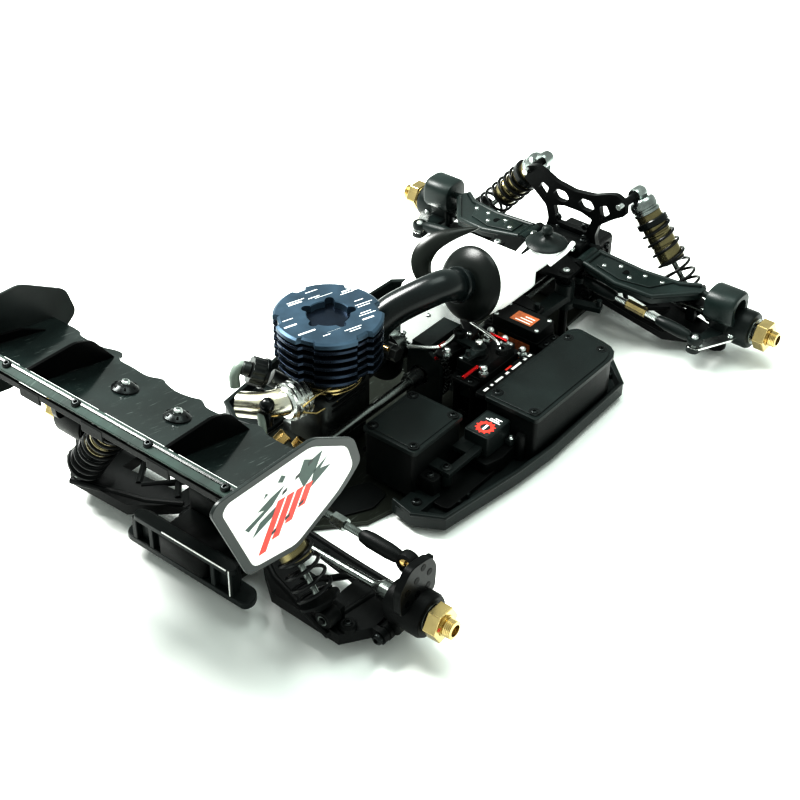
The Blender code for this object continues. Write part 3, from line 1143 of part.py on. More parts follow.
def build():
    clear_scene()
    chassis()
    front_gearbox()
    rear_gearbox()
    shock_tower("front_shock_tower", F_TOWER_X, F_TOWER_HALF_WIDTH, GEARBOX_HEIGHT + GAP, F_SHOCK_TOP,
                F_SHOCK_X)
    shock_tower("rear_shock_tower", R_TOWER_X, R_TOWER_HALF_WIDTH, GEARBOX_HEIGHT + GAP, R_SHOCK_TOP,
                R_SHOCK_X)
    for side in (1, -1):
        front_corner(side)
        rear_corner(side)
        shock("front", side, F_SHOCK_X, F_SHOCK_TOP, F_SHOCK_FOOT)
        shock("rear", side, R_SHOCK_X, R_SHOCK_TOP, R_SHOCK_FOOT)
    steering()
    engine()
    air_filter()
    exhaust()
    fuel_tank()
    centre_differential()
    servos()
    radio()
    wing()


build()
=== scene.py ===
"""Looks of a nitro off-road buggy's rolling chassis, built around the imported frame.

Shapes are drawn in millimetres in the frame's axes, X forward, Y left and Z up. MM turns them into metres.
"""

import json
import math

import bmesh
import bpy
from mathutils import Matrix, Vector
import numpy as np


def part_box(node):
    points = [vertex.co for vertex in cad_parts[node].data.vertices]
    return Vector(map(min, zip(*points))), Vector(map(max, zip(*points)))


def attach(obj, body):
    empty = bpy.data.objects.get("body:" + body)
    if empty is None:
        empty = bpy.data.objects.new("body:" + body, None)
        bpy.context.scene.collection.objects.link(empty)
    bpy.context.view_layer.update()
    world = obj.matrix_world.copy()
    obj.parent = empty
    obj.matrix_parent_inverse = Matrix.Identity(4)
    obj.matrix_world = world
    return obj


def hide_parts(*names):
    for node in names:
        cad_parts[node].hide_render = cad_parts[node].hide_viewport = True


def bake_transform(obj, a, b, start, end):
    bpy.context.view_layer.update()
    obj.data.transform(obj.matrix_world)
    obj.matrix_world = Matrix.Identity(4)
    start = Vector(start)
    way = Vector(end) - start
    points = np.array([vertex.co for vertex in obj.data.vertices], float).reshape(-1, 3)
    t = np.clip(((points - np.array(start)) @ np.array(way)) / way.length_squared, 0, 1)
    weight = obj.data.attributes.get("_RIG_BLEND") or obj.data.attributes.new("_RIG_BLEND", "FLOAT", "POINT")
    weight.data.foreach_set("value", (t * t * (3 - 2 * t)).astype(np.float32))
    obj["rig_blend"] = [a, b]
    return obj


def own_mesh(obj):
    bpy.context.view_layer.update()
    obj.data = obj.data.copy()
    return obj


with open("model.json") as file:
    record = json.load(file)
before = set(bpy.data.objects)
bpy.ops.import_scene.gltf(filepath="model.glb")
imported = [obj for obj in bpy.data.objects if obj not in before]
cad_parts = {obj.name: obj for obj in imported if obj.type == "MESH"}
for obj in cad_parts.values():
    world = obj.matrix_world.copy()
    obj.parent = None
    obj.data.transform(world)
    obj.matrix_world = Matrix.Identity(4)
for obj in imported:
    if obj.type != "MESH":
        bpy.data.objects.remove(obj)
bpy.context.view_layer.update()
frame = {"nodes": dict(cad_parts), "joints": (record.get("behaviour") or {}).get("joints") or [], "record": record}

MM = 0.001
SIDES = (("left", 1), ("right", -1))
TAU = 2 * math.pi
UP = (0, 0, 1)

# Places that several pieces share, in millimetres.
FIN_Y = 45.0
CARB_X = -28.0
BLOCK_TOP = 46.0
HEAD_NOTCH = 2.6
HEAD_STEPS = 120
BOWL_LOBE_REACH = 15.9
ETCHING_MARGIN = 2.6
ETCHING_PITCH = 1.95
BOLT_CIRCLE = 11.6
KINGPIN = (158.0, 106.0)
FRONT_HUB_X, FRONT_HUB_Z = 163.0, 21.0
REAR_HUB = (-163.0, 110.0, 27.0)
REAR_LINK_INNER = (-162.0, 26.0, 57.0)
DRIVE_CUP_Y, DRIVE_CUP_Z = 21.0, 25.0
TOWER_FACE_X = {"front": 148.0, "rear": -177.5}
TOWER_BOLT_Y = {"front": 35, "rear": 42}
TOWER_T = 4
WHEEL_FACE_Y = 138.5
WHEEL_HEX_FLATS = 17.0
BARREL_R, BARREL_NECK_R = 8.1, 7.7
COIL_R, COIL_WIRE_R, COIL_TURNS = 9.4, 0.95, 7
CENTRE_SHAFT_Y, CENTRE_SHAFT_Z = -3.0, 28.0
TIE_ROD_INNER, TIE_ROD_OUTER = (128, 22, 33.8), (128, 106, 23.8)

# The studio, in metres and degrees.
FLOOR_REACH, FLOOR_LEVEL = 6.0, -0.0002
CAMERA_PLACE = (-0.5998, -0.4522, 0.5666)
CAMERA_YAW, CAMERA_PITCH, CAMERA_ROLL = 38.22, 36.98, 0.8
CAMERA_LENS, CAMERA_SENSOR = 70.83, 36


# ---------------------------------------------------------------- reading the frame

class Box:
    """A CAD node's box at rest, in millimetres."""

    def __init__(self, node):
        low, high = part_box(node)
        self.x0, self.y0, self.z0 = (value / MM for value in low)
        self.x1, self.y1, self.z1 = (value / MM for value in high)
        self.cx = (self.x0 + self.x1) / 2
        self.cy = (self.y0 + self.y1) / 2
        self.cz = (self.z0 + self.z1) / 2


JOINTS = {joint["name"]: joint for joint in frame["joints"]}


def joint_point(name):
    return Vector(JOINTS[name]["pos_m"]) / MM


# ---------------------------------------------------------------- materials

def shader_of(made):
    return next(node for node in made.node_tree.nodes if node.type == "BSDF_PRINCIPLED")


def finish(name, colour, rough, metal=0.0, mottle=(60.0, 0.25), grain=(2500.0, 0.12), rough_swing=0.08,
           spec=0.5, coat=0.0, stretch=(1.0, 1.0, 1.0), scratches=0.0, tint=None):
    """A material with patchy colour, uneven gloss and a fine grain; scratches are thin bright scuffs."""
    made = bpy.data.materials.new(name)
    made.use_nodes = True
    tree = made.node_tree
    nodes, links = tree.nodes, tree.links
    shader = shader_of(made)
    shader.inputs["Metallic"].default_value = metal
    shader.inputs["Specular IOR Level"].default_value = spec
    if coat:
        shader.inputs["Coat Weight"].default_value = coat
        shader.inputs["Coat Roughness"].default_value = 0.08
    place = nodes.new("ShaderNodeTexCoord")
    mapping = nodes.new("ShaderNodeMapping")
    mapping.inputs["Scale"].default_value = stretch
    links.new(place.outputs["Object"], mapping.inputs["Vector"])
    patch = nodes.new("ShaderNodeTexNoise")
    patch.inputs["Scale"].default_value = mottle[0]
    patch.inputs["Detail"].default_value = 5
    links.new(mapping.outputs["Vector"], patch.inputs["Vector"])
    ramp = nodes.new("ShaderNodeValToRGB")
    dark = [channel * (1 - mottle[1]) for channel in colour]
    light = [min(channel * (1 + mottle[1]), 1.0) for channel in (tint or colour)]
    ramp.color_ramp.elements[0].position = 0.32
    ramp.color_ramp.elements[1].position = 0.70
    ramp.color_ramp.elements[0].color = (*dark, 1)
    ramp.color_ramp.elements[1].color = (*light, 1)
    links.new(patch.outputs["Fac"], ramp.inputs["Fac"])
    colour_out = ramp.outputs["Color"]
    swing = nodes.new("ShaderNodeMapRange")
    swing.inputs["To Min"].default_value = max(rough - rough_swing, 0.02)
    swing.inputs["To Max"].default_value = rough + rough_swing
    links.new(patch.outputs["Fac"], swing.inputs["Value"])
    links.new(swing.outputs["Result"], shader.inputs["Roughness"])
    if scratches:
        lines = nodes.new("ShaderNodeTexNoise")
        lines.inputs["Scale"].default_value = 90
        lines.inputs["Detail"].default_value = 8
        thin = nodes.new("ShaderNodeMapping")
        thin.inputs["Scale"].default_value = (1.0, 14.0, 3.0)
        thin.inputs["Rotation"].default_value = (0.3, 0.2, 0.9)
        links.new(place.outputs["Object"], thin.inputs["Vector"])
        links.new(thin.outputs["Vector"], lines.inputs["Vector"])
        cut = nodes.new("ShaderNodeMapRange")
        cut.inputs["From Min"].default_value = 0.62
        cut.inputs["From Max"].default_value = 0.72
        cut.inputs["To Max"].default_value = scratches
        links.new(lines.outputs["Fac"], cut.inputs["Value"])
        mix = nodes.new("ShaderNodeMix")
        mix.data_type = "RGBA"
        mix.inputs[7].default_value = (0.45, 0.52, 0.48, 1)
        links.new(cut.outputs["Result"], mix.inputs[0])
        links.new(colour_out, mix.inputs[6])
        colour_out = mix.outputs[2]
    links.new(colour_out, shader.inputs["Base Color"])
    fine = nodes.new("ShaderNodeTexNoise")
    fine.inputs["Scale"].default_value = grain[0]
    fine.inputs["Detail"].default_value = 3
    links.new(mapping.outputs["Vector"], fine.inputs["Vector"])
    bump = nodes.new("ShaderNodeBump")
    bump.inputs["Strength"].default_value = grain[1]
    bump.inputs["Distance"].default_value = 0.0003
    links.new(fine.outputs["Fac"], bump.inputs["Height"])
    links.new(bump.outputs["Normal"], shader.inputs["Normal"])
    return made


NYLON = finish("nylon_black", (0.0030, 0.0042, 0.0040), 0.40, mottle=(45, 0.35), grain=(2600, 0.35),
               spec=0.13)
NYLON_GREY = finish("nylon_greenish", (0.0065, 0.0110, 0.0103), 0.36, mottle=(40, 0.3), grain=(2200, 0.3),
                    spec=0.24)
GLOSS = finish("gloss_black", (0.003, 0.005, 0.005), 0.22, mottle=(30, 0.3), grain=(1200, 0.06), spec=0.3)
ELBOW = finish("elbow_rubber", (0.0040, 0.0080, 0.0080), 0.26, mottle=(35, 0.3), grain=(900, 0.05),
               spec=0.36)
LEAF = finish("leaf_olive", (0.0075, 0.0105, 0.0080), 0.30, mottle=(25, 0.4), grain=(900, 0.08), spec=0.34)
DISH = finish("dish_plastic", (0.0055, 0.0080, 0.0070), 0.30, mottle=(35, 0.3), grain=(1500, 0.15),
              spec=0.26)
WING = finish("wing_sheet", (0.0090, 0.0150, 0.0140), 0.15, mottle=(28, 0.35), grain=(300, 0.03), spec=0.42,
              coat=0.15, scratches=0.10)
FIN = finish("fin_black", (0.0015, 0.0020, 0.0020), 0.25, mottle=(40, 0.3), grain=(800, 0.05), spec=0.06)
STRIP = finish("gurney_strip", (0.030, 0.050, 0.043), 0.55, mottle=(60, 0.4), grain=(900, 0.1), spec=0.12,
               scratches=0.10)
PLATE = finish("plate_olive", (0.017, 0.021, 0.015), 0.36, metal=0.6, mottle=(22, 0.3), grain=(1800, 0.1),
               scratches=0.25)
BLACK_METAL = finish("anodised_black", (0.0040, 0.0050, 0.0050), 0.30, metal=0.4, mottle=(80, 0.3),
                     grain=(1800, 0.08), spec=0.18)
HEAD = finish("head_steel_blue", (0.050, 0.088, 0.125), 0.36, metal=0.6, mottle=(70, 0.22),
              grain=(2200, 0.08),
              rough_swing=0.06)
# Painted shade: the fins are the same blue anodised metal as the top plate, coloured darker to stand for the shade
# between the fins.
HEAD_FIN = finish("head_fins", (0.022, 0.034, 0.054), 0.22, metal=0.8, mottle=(60, 0.25),
                  grain=(1800, 0.08))
SILVER = finish("bright_aluminium", (0.74, 0.76, 0.74), 0.24, metal=1.0, mottle=(90, 0.12),
                grain=(2500, 0.1),
                stretch=(1, 1, 6))
CAST = finish("cast_aluminium", (0.055, 0.060, 0.058), 0.38, metal=0.9, mottle=(120, 0.25),
              grain=(1400, 0.35))
STEEL = finish("machined_steel", (0.20, 0.22, 0.21), 0.26, metal=1.0, mottle=(120, 0.2), grain=(2500, 0.1))
HEATED = finish("heated_steel", (0.74, 0.74, 0.68), 0.22, metal=1.0, mottle=(38, 0.25), grain=(1500, 0.08),
                tint=(0.58, 0.53, 0.38))
GOLD = finish("gold_anodised", (0.58, 0.47, 0.24), 0.26, metal=1.0, mottle=(70, 0.15), grain=(2200, 0.08))
SHOCK_GOLD = finish("shock_gold", (0.20, 0.175, 0.095), 0.24, metal=0.9, mottle=(70, 0.2),
                    grain=(2200, 0.08))
BRASS = finish("brass", (0.62, 0.45, 0.20), 0.24, metal=1.0, mottle=(90, 0.2), grain=(2200, 0.08))
BOLT = finish("black_oxide_screw", (0.010, 0.013, 0.013), 0.26, metal=0.6, mottle=(200, 0.3),
              grain=(3000, 0.1))
BOLT_SILVER = finish("zinc_screw", (0.60, 0.63, 0.62), 0.22, metal=1.0, mottle=(200, 0.2),
                     grain=(3000, 0.1))
SPRING = finish("spring_enamel", (0.0040, 0.0050, 0.0050), 0.30, metal=0.2, mottle=(200, 0.3),
                grain=(2000, 0.08), spec=0.3)
FOAM = finish("white_foam", (0.93, 0.95, 0.92), 0.75, mottle=(160, 0.05), grain=(900, 0.5), spec=0.2)
TANK = finish("tank_polymer", (0.90, 0.93, 0.90), 0.35, mottle=(60, 0.04), grain=(1200, 0.1), spec=0.4)
WHITE = finish("white_print", (0.90, 0.90, 0.88), 0.40, mottle=(150, 0.04), grain=(1500, 0.05))
RED = finish("red_print", (0.78, 0.055, 0.035), 0.35, mottle=(150, 0.1), grain=(1500, 0.05))
RED_METAL = finish("red_anodised", (0.42, 0.006, 0.008), 0.25, metal=0.8, mottle=(150, 0.15),
                   grain=(2000, 0.05))
ORANGE = finish("orange_print", (0.46, 0.13, 0.035), 0.45, mottle=(400, 0.3), grain=(1500, 0.05))
SAGE = finish("sage_print", (0.045, 0.080, 0.068), 0.40, mottle=(150, 0.1), grain=(1500, 0.05))
GRAPHITE = finish("graphite_print", (0.012, 0.018, 0.017), 0.32, mottle=(100, 0.15), grain=(1500, 0.05))
GREY_RUBBER = finish("grey_silicone", (0.20, 0.24, 0.21), 0.40, mottle=(100, 0.2), grain=(1500, 0.1))
# Painted light: the foam and the tank glow faintly, so their white reads blown out as if strongly lit, though
# neither is a lamp.
for bright in (FOAM, TANK):
    shader_of(bright).inputs["Emission Color"].default_value = (0.95, 1.0, 0.97, 1)
    shader_of(bright).inputs["Emission Strength"].default_value = 0.35
ARM = finish("arm_nylon", (0.0065, 0.0145, 0.0130), 0.38, mottle=(40, 0.3), grain=(2200, 0.3), spec=0.40)
CAP_METAL = finish("shock_cap", (0.30, 0.33, 0.32), 0.24, metal=1.0, mottle=(120, 0.3), grain=(2200, 0.1))
FLOOR = finish("studio_floor", (0.93, 0.95, 0.93), 0.7, mottle=(3, 0.01), grain=(40, 0.0), spec=0.2)


# ---------------------------------------------------------------- shapes

def axes_of(direction, hint=None):
    """A rotation whose Z is the direction and whose X is as near the hint as can be."""
    z = Vector(direction).normalized()
    x = Vector(hint) if hint else z.orthogonal()
    x = (x - x.dot(z) * z).normalized()
    return Matrix((x, z.cross(x), z)).transposed()


def rounded(points, radius, steps=4):
    """An outline with its corners rounded. radius is one number, or one for each corner."""
    radii = radius if isinstance(radius, (list, tuple)) else [radius] * len(points)
    made = []
    for index, point in enumerate(points):
        here = Vector(point)
        back = Vector(points[index - 1]) - here
        ahead = Vector(points[(index + 1) % len(points)]) - here
        reach = min(radii[index], back.length * 0.49, ahead.length * 0.49)
        if reach <= 0:
            made.append(tuple(here))
            continue
        start = here + back.normalized() * reach
        end = here + ahead.normalized() * reach
        for step in range(steps + 1):
            t = step / steps
            made.append(tuple((1 - t) ** 2 * start + 2 * t * (1 - t) * here + t * t * end))
    return made


def smooth_path(points, steps=8):
    """Points along a smooth curve through the given ones."""
    row = [Vector(point) for point in points]
    row = [2 * row[0] - row[1]] + row + [2 * row[-1] - row[-2]]
    made = []
    for a, b, c, d in zip(row, row[1:], row[2:], row[3:]):
        for step in range(steps):
            t = step / steps
            made.append(0.5 * (2 * b + (c - a) * t + (2 * a - 5 * b + 4 * c - d) * t**2
                               + (3 * b - a - 3 * c + d) * t**3))
    made.append(row[-2])
    return made


class Part:
    """One visible piece. Shapes are added in millimetres, and done() makes them an object on its body."""

    def __init__(self, name, material, body="chassis"):
        self.name = name
        self.material = material
        self.body = body
        self.bm = bmesh.new()

    def loft(self, rings, capped=True):
        made = [[self.bm.verts.new(point) for point in ring] for ring in rings]
        for first, second in zip(made, made[1:]):
            count = len(first)
            for step in range(count):
                after = (step + 1) % count
                self.bm.faces.new((first[step], first[after], second[after], second[step]))
        if capped:
            self.bm.faces.new(made[0][::-1])
            self.bm.faces.new(made[-1])
        return self

    def pierced(self, outline, windows, low, high):
        """A flat plate across x with windows through it. The outlines are (y, z) points."""
        for level in (low, high):
            edges = []
            for loop in (outline, *windows):
                made = [self.bm.verts.new((level, y, z)) for y, z in loop]
                edges += [self.bm.edges.new((made[k - 1], made[k])) for k in range(len(made))]
            bmesh.ops.triangle_fill(self.bm, use_beauty=True, use_dissolve=False, edges=edges)
        for loop in (outline, *windows):
            self.loft([[Vector((level, y, z)) for y, z in loop] for level in (low, high)], capped=False)

    def slab(self, outline, low, high, axis="z", at=None, turn=None):
        """An outline extruded from low to high along an axis, or in the axes of turn from the point at."""
        order = {"x": (1, 2, 0), "y": (0, 2, 1), "z": (0, 1, 2)}[axis]
        rings = []
        for level in (low, high):
            ring = []
            for first, second in outline:
                point = [0.0, 0.0, 0.0]
                point[order[0]], point[order[1]], point[order[2]] = first, second, level
                point = Vector(point)
                if turn is not None:
                    point = turn @ point
                if at is not None:
                    point = point + Vector(at)
                ring.append(point)
            rings.append(ring)
        return self.loft(rings)

    def box(self, x0, x1, y0, y1, z0, z1, round_z=0.0):
        outline = [(x0, y0), (x1, y0), (x1, y1), (x0, y1)]
        return self.slab(rounded(outline, round_z) if round_z else outline, z0, z1)

    def turned(self, profile, start, direction, segments=32):
        """A profile of (radius, height) points turned round an axis, closed at the axis or as a loop."""
        turn = axes_of(direction)
        start = Vector(start)
        rings = []
        for radius, height in profile:
            rings.append([start + turn @ Vector((radius * math.cos(TAU * k / segments),
                                                 radius * math.sin(TAU * k / segments), height))
                          for k in range(segments)])
        return self.loft(rings)

    def ring(self, profile, start, direction, segments=32):
        """A closed profile turned round an axis that it doesn't touch, such as a washer or a tube's wall."""
        turn = axes_of(direction)
        start = Vector(start)
        loops = []
        for k in range(segments):
            across = Vector((math.cos(TAU * k / segments), math.sin(TAU * k / segments), 0))
            loops.append([self.bm.verts.new(start + turn @ (across * radius + Vector((0, 0, height))))
                          for radius, height in profile])
        count = len(profile)
        for k in range(segments):
            first, second = loops[k], loops[(k + 1) % segments]
            for step in range(count):
                after = (step + 1) % count
                self.bm.faces.new((first[step], second[step], second[after], first[after]))
        return self

    def rod(self, start, end, radius, segments=20, end_radius=None):
        start, end = Vector(start), Vector(end)
        length = (end - start).length
        return self.turned([(radius, 0), (radius if end_radius is None else end_radius, length)],
                           start, end - start, segments)

    def ball(self, centre, radius, segments=20):
        rows = segments // 2
        profile = [(radius * math.sin(math.pi * k / rows), -radius * math.cos(math.pi * k / rows))
                   for k in range(1, rows)]
        return self.turned(profile, centre, UP, segments)

    def tube(self, path, radius, segments=20):
        """A tube along a path; radius is one number or one for each point."""
        points = [Vector(point) for point in path]
        radii = radius if isinstance(radius, (list, tuple)) else [radius] * len(points)
        rings = []
        across = None
        for index, point in enumerate(points):
            tangent = points[min(index + 1, len(points) - 1)] - points[max(index - 1, 0)]
            tangent.normalize()
            if across is None:
                across = tangent.orthogonal().normalized()
            across = (across - across.dot(tangent) * tangent).normalized()
            other = tangent.cross(across)
            rings.append([point + (across * math.cos(TAU * k / segments)
                                   + other * math.sin(TAU * k / segments)) * radii[index]
                          for k in range(segments)])
        return self.loft(rings)

    def screw(self, point, direction, radius=2.4, height=None):
        """A button-head screw with a hexagonal socket."""
        tall = radius * 0.62 if height is None else height
        turn = axes_of(direction)
        start = Vector(point)
        segments = 24
        rings = []
        for share, lift in ((1.0, -0.3), (1.0, 0.25), (0.93, 0.6), (0.75, 0.88), (0.55, 1.0)):
            rings.append([(radius * share, tall * lift)] * segments)
        for lift in (1.0, 0.35):
            ring = []
            for k in range(segments):
                within = math.radians((k * 360 / segments) % 60 - 30)
                ring.append((radius * 0.42 / math.cos(within), tall * lift))
            rings.append(ring)
        points = []
        for ring in rings:
            points.append([start + turn @ Vector((reach * math.cos(TAU * k / segments),
                                                  reach * math.sin(TAU * k / segments), lift))
                           for k, (reach, lift) in enumerate(ring)])
        return self.loft(points)

    def hexagon(self, start, end, across_flats):
        corner = across_flats / math.sqrt(3)
        outline = [(corner * math.cos(math.radians(60 * k)), corner * math.sin(math.radians(60 * k)))
                   for k in range(6)]
        start, end = Vector(start), Vector(end)
        return self.slab(outline, 0, (end - start).length, at=start, turn=axes_of(end - start, (1, 0, 0)))

    def thread(self, start, direction, radius, length, pitch=1.0, segments=24):
        """A threaded length, as a row of shallow ridges."""
        profile = []
        for step in range(int(length / pitch)):
            profile += [(radius - 0.35, step * pitch), (radius, (step + 0.5) * pitch)]
        return self.turned(profile, start, direction, segments)

    def done(self, bevel=0.0, replaces=(), smooth=32, segments=2, merge=True):
        if merge:
            bmesh.ops.remove_doubles(self.bm, verts=self.bm.verts[:], dist=1e-4)
        bmesh.ops.recalc_face_normals(self.bm, faces=self.bm.faces[:])
        bmesh.ops.scale(self.bm, vec=(MM, MM, MM), verts=self.bm.verts)
        mesh = bpy.data.meshes.new(self.name)
        self.bm.to_mesh(mesh)
        self.bm.free()
        made = bpy.data.objects.new(self.name, mesh)
        bpy.context.scene.collection.objects.link(made)
        dress(made, self.material, bevel, smooth, segments)
        if self.body:
            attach(made, self.body)
        if replaces:
            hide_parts(*replaces)
            REPLACED.update(replaces)
        return made


SLOT_OF = {part["node"]: part["material_slot"] for part in frame["record"]["subparts"]}
BODY_OF = {node: body for body, nodes in frame["record"]["behaviour"]["bodies"].items() for node in nodes}
NODES = sorted(frame["nodes"])
REPLACED = set()


def dress(made, material, bevel, smooth, segments=2):
    made.data.materials.clear()
    made.data.materials.append(material)
    made.data.shade_smooth()
    if bevel:
        edge = made.modifiers.new("edges", "BEVEL")
        edge.width = bevel * MM
        edge.segments = segments
        edge.limit_method = "ANGLE"
        edge.angle_limit = math.radians(smooth)
        edge.harden_normals = True
    else:
        made.data.set_sharp_from_angle(angle=math.radians(smooth))


def refined(node, material, bevel=0.4, smooth=46):
    """Stands for a CAD node with the same shape, its edges rounded."""
    mesh = frame["nodes"][node].data.copy()
    work = bmesh.new()
    work.from_mesh(mesh)
    bmesh.ops.remove_doubles(work, verts=work.verts[:], dist=1e-6)
    bmesh.ops.dissolve_limit(work, angle_limit=math.radians(2), verts=work.verts[:], edges=work.edges[:])
    work.to_mesh(mesh)
    work.free()
    for attribute in list(mesh.attributes):
        if attribute.name == "custom_normal":
            mesh.attributes.remove(attribute)
    made = bpy.data.objects.new(node + "_look", mesh)
    bpy.context.scene.collection.objects.link(made)
    dress(made, material, bevel, smooth)
    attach(made, BODY_OF[node])
    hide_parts(node)
    REPLACED.add(node)
    return made


# ---------------------------------------------------------------- wing

def wing():
    deck = Box("wing")
    span = deck.y1
    front_x, rear_x = deck.x1, deck.x0 + 3.6
    front_z, rear_z = deck.z0 + 1.6, deck.z1 - 9

    def surface(x):
        return front_z + (front_x - x) * (rear_z - front_z) / (front_x - rear_x - 1.6)

    # The deck is a thin sheet whose front edge waves between the fins.
    waves = [(-span, 0), (-76, 0), (-70, -3), (-56, -3), (-49, 0), (-44, 0), (-40, -5.5), (-30, -6),
             (-20, -6.5),
             (-13, -3), (-8, -5), (0, -6.5)]
    waves += [(-y, x) for y, x in waves[-2::-1]]
    sheet = Part("wing_deck", WING)
    edge = smooth_path([(y, x, 0) for y, x in waves], 4)
    rows = 7
    top = []
    for point in edge:
        y, pull = point.x, point.y
        line = []
        for k in range(rows + 1):
            x = (front_x + pull) + (rear_x + 1 - front_x - pull) * k / rows
            lift = -0.96 * math.sin(math.pi * k / rows)
            line.append(Vector((x, y, surface(x) + lift)))
        line.append(Vector((rear_x - 0.6, y, deck.z1 - 4.5)))
        line.append(Vector((rear_x - 1.0, y, deck.z1)))
        top.append(line)
    under = [[p + Vector((0, 0, -1.3)) if k < rows + 1 else p + Vector((-1.2, 0, -0.2))
              for k, p in enumerate(line)] for line in top]
    sheet.loft([line + under_line[::-1] for line, under_line in zip(top, under)])
    sheet.done(replaces=("wing",), smooth=28)

    # Fins stand on the deck, and their front edges lean back.
    for name, side in SIDES:
        y = side * FIN_Y
        fin = Part(f"wing_fin_{name}", FIN)
        shape = [(front_x - 5, surface(front_x - 5) - 0.4), (front_x - 17, surface(front_x - 17) + 13),
                 (front_x - 27, surface(front_x - 27) + 14.5), (rear_x + 0.5, deck.z1 - 0.8),
                 (rear_x + 0.5, surface(rear_x) - 0.4)]
        fin.slab(rounded(shape, [0.5, 3, 3, 1, 0.5]), y - 0.9, y + 0.9, "y")
        fin.done(bevel=0.4)
    outer = Part("wing_outer_fins", FIN)
    for y in (span - 8, -span + 8):
        outer.slab([(front_x - 12, surface(front_x - 12) - 0.3),
                    (front_x - 26, surface(front_x - 26) + 4.5),
                    (rear_x + 1, surface(rear_x) + 5), (rear_x + 1, surface(rear_x) - 0.3)], y - 0.7,
                    y + 0.7, "y")
    outer.done(bevel=0.3)

    # The gurney strip is screwed to the upturned rear edge.
    strip = Part("wing_gurney", STRIP)
    top_z = deck.z1
    profile = [(rear_x - 0.4, top_z - 9.5), (rear_x - 5.6, top_z - 2.4), (rear_x - 6.0, top_z - 1.6),
               (rear_x - 5.0, top_z - 1.2), (rear_x + 0.6, top_z - 0.2), (rear_x + 1.1, top_z - 1.4),
               (rear_x - 3.6, top_z - 2.9), (rear_x + 0.6, top_z - 9.0)]
    strip.slab(profile, -span + 0.6, span - 0.6, "y")
    strip.done(bevel=0.25)
    screws = Part("wing_gurney_screws", BOLT)
    for y in (-84, -38, 8, 55, 86):
        screws.screw((rear_x - 2.4, y, top_z - 0.6), (-0.25, 0, 1), 2.3)
    screws.done()
    lip = Part("wing_underside_lip", NYLON)
    lip.box(rear_x - 2.2, rear_x - 1.0, -span + 1, span - 1, top_z - 12.5, top_z - 8.8)
    for k in range(-4, 5, 2):
        lip.box(rear_x - 2.4, rear_x - 1.2, k * 21.0 - 7, k * 21.0 + 7, top_z - 15.5, top_z - 9.6)
    lip.done(bevel=0.4, merge=False)
    # Painted highlight: broken white strips behind the strip's rear lip stand for light caught on its edge.
    lip_glint = Part("wing_edge_glint", WHITE)
    for y0, y1 in ((-88, -52), (-49, -6), (-2, 47), (51, 62)):
        lip_glint.box(rear_x + 1.3, rear_x + 1.9, y0, y1, top_z - 2.6, top_z - 1.5)
    lip_glint.done(bevel=0.1, merge=False)

    # Two slotted dome washers, each with a cap screw, hold the deck to its mount.
    slope = Vector((rear_z - front_z, 0, front_x - rear_x)).normalized()
    for name, side in SIDES:
        point = Vector((-213, side * 17.3, surface(-213) - 0.9))
        dome = Part(f"wing_washer_{name}", BOLT)
        dome.ring([(2.2, 0.0), (6.6, 0.0), (6.6, 0.7), (5.9, 1.3), (4.2, 2.5), (3.0, 2.9), (2.2, 2.9)],
                  point, slope, 40)
        dome.done(smooth=40)
        # Painted shade: near-black rods half sunk in each dome stand for the dark insides of its slots.
        slot_shades = Part(f"wing_washer_slot_shades_{name}", FIN)
        turn = axes_of(slope)
        for k in range(6):
            across = turn @ Vector((math.cos(TAU * k / 6), math.sin(TAU * k / 6), 0))
            slot_shades.rod(point + across * 4.1 + slope * 2.05, point + across * 5.5 + slope * 1.35, 0.62, 10)
        slot_shades.done()
        head = Part(f"wing_washer_screw_{name}", BOLT_SILVER)
        head.screw(point + slope * 2.6, slope, 2.5, 2.0)
        head.done()

    # Endplates: a bevelled frame round a white panel, with a splash graphic.
    for name, side in SIDES:
        node = f"wing_endplate_{name}"
        box = Box(node)
        outline = [(-270, 145), (-266, 149), (-207, 147), (-180, 131), (-175, 115), (-187, 106),
                   (-220, 92), (-251, 98)]
        outline = [(box.x0 + (x + 270), box.z0 + (z - 92)) for x, z in outline]
        middle = Vector((box.cx, box.cz))
        inner = box.y0 if side > 0 else box.y1
        outer_y = box.y1 if side > 0 else box.y0
        plate = Part(f"{node}_sheet", GRAPHITE)
        low, high = sorted((inner, outer_y - side * 0.1))
        plate.slab(rounded(outline, 4), low, high, "y")
        plate.done(bevel=0.35, replaces=(node,))
        shrink = [tuple(middle + (Vector(p) - middle) * 0.875) for p in outline]
        panel = Part(f"{node}_panel", WHITE)
        low, high = sorted((outer_y - side * 0.3, outer_y + side * 0.05))
        panel.slab(rounded(shrink, 4), low, high, "y")
        panel.done()
        graphic(node, middle, outer_y, side)
    bracing = Part("wing_mount_bars", NYLON)
    post = Box("wing_mount")
    for _, side in SIDES:
        y = side * 17.0
        bracing.tube([(post.x1 - 2, y, post.z0 + 12), (post.cx - 4, y, post.cz - 4),
                      (post.x0 + 10, y, post.z1 - 6)],
                     1.7, 10)
    bracing.done()
    refined("wing_mount", NYLON, 0.5)


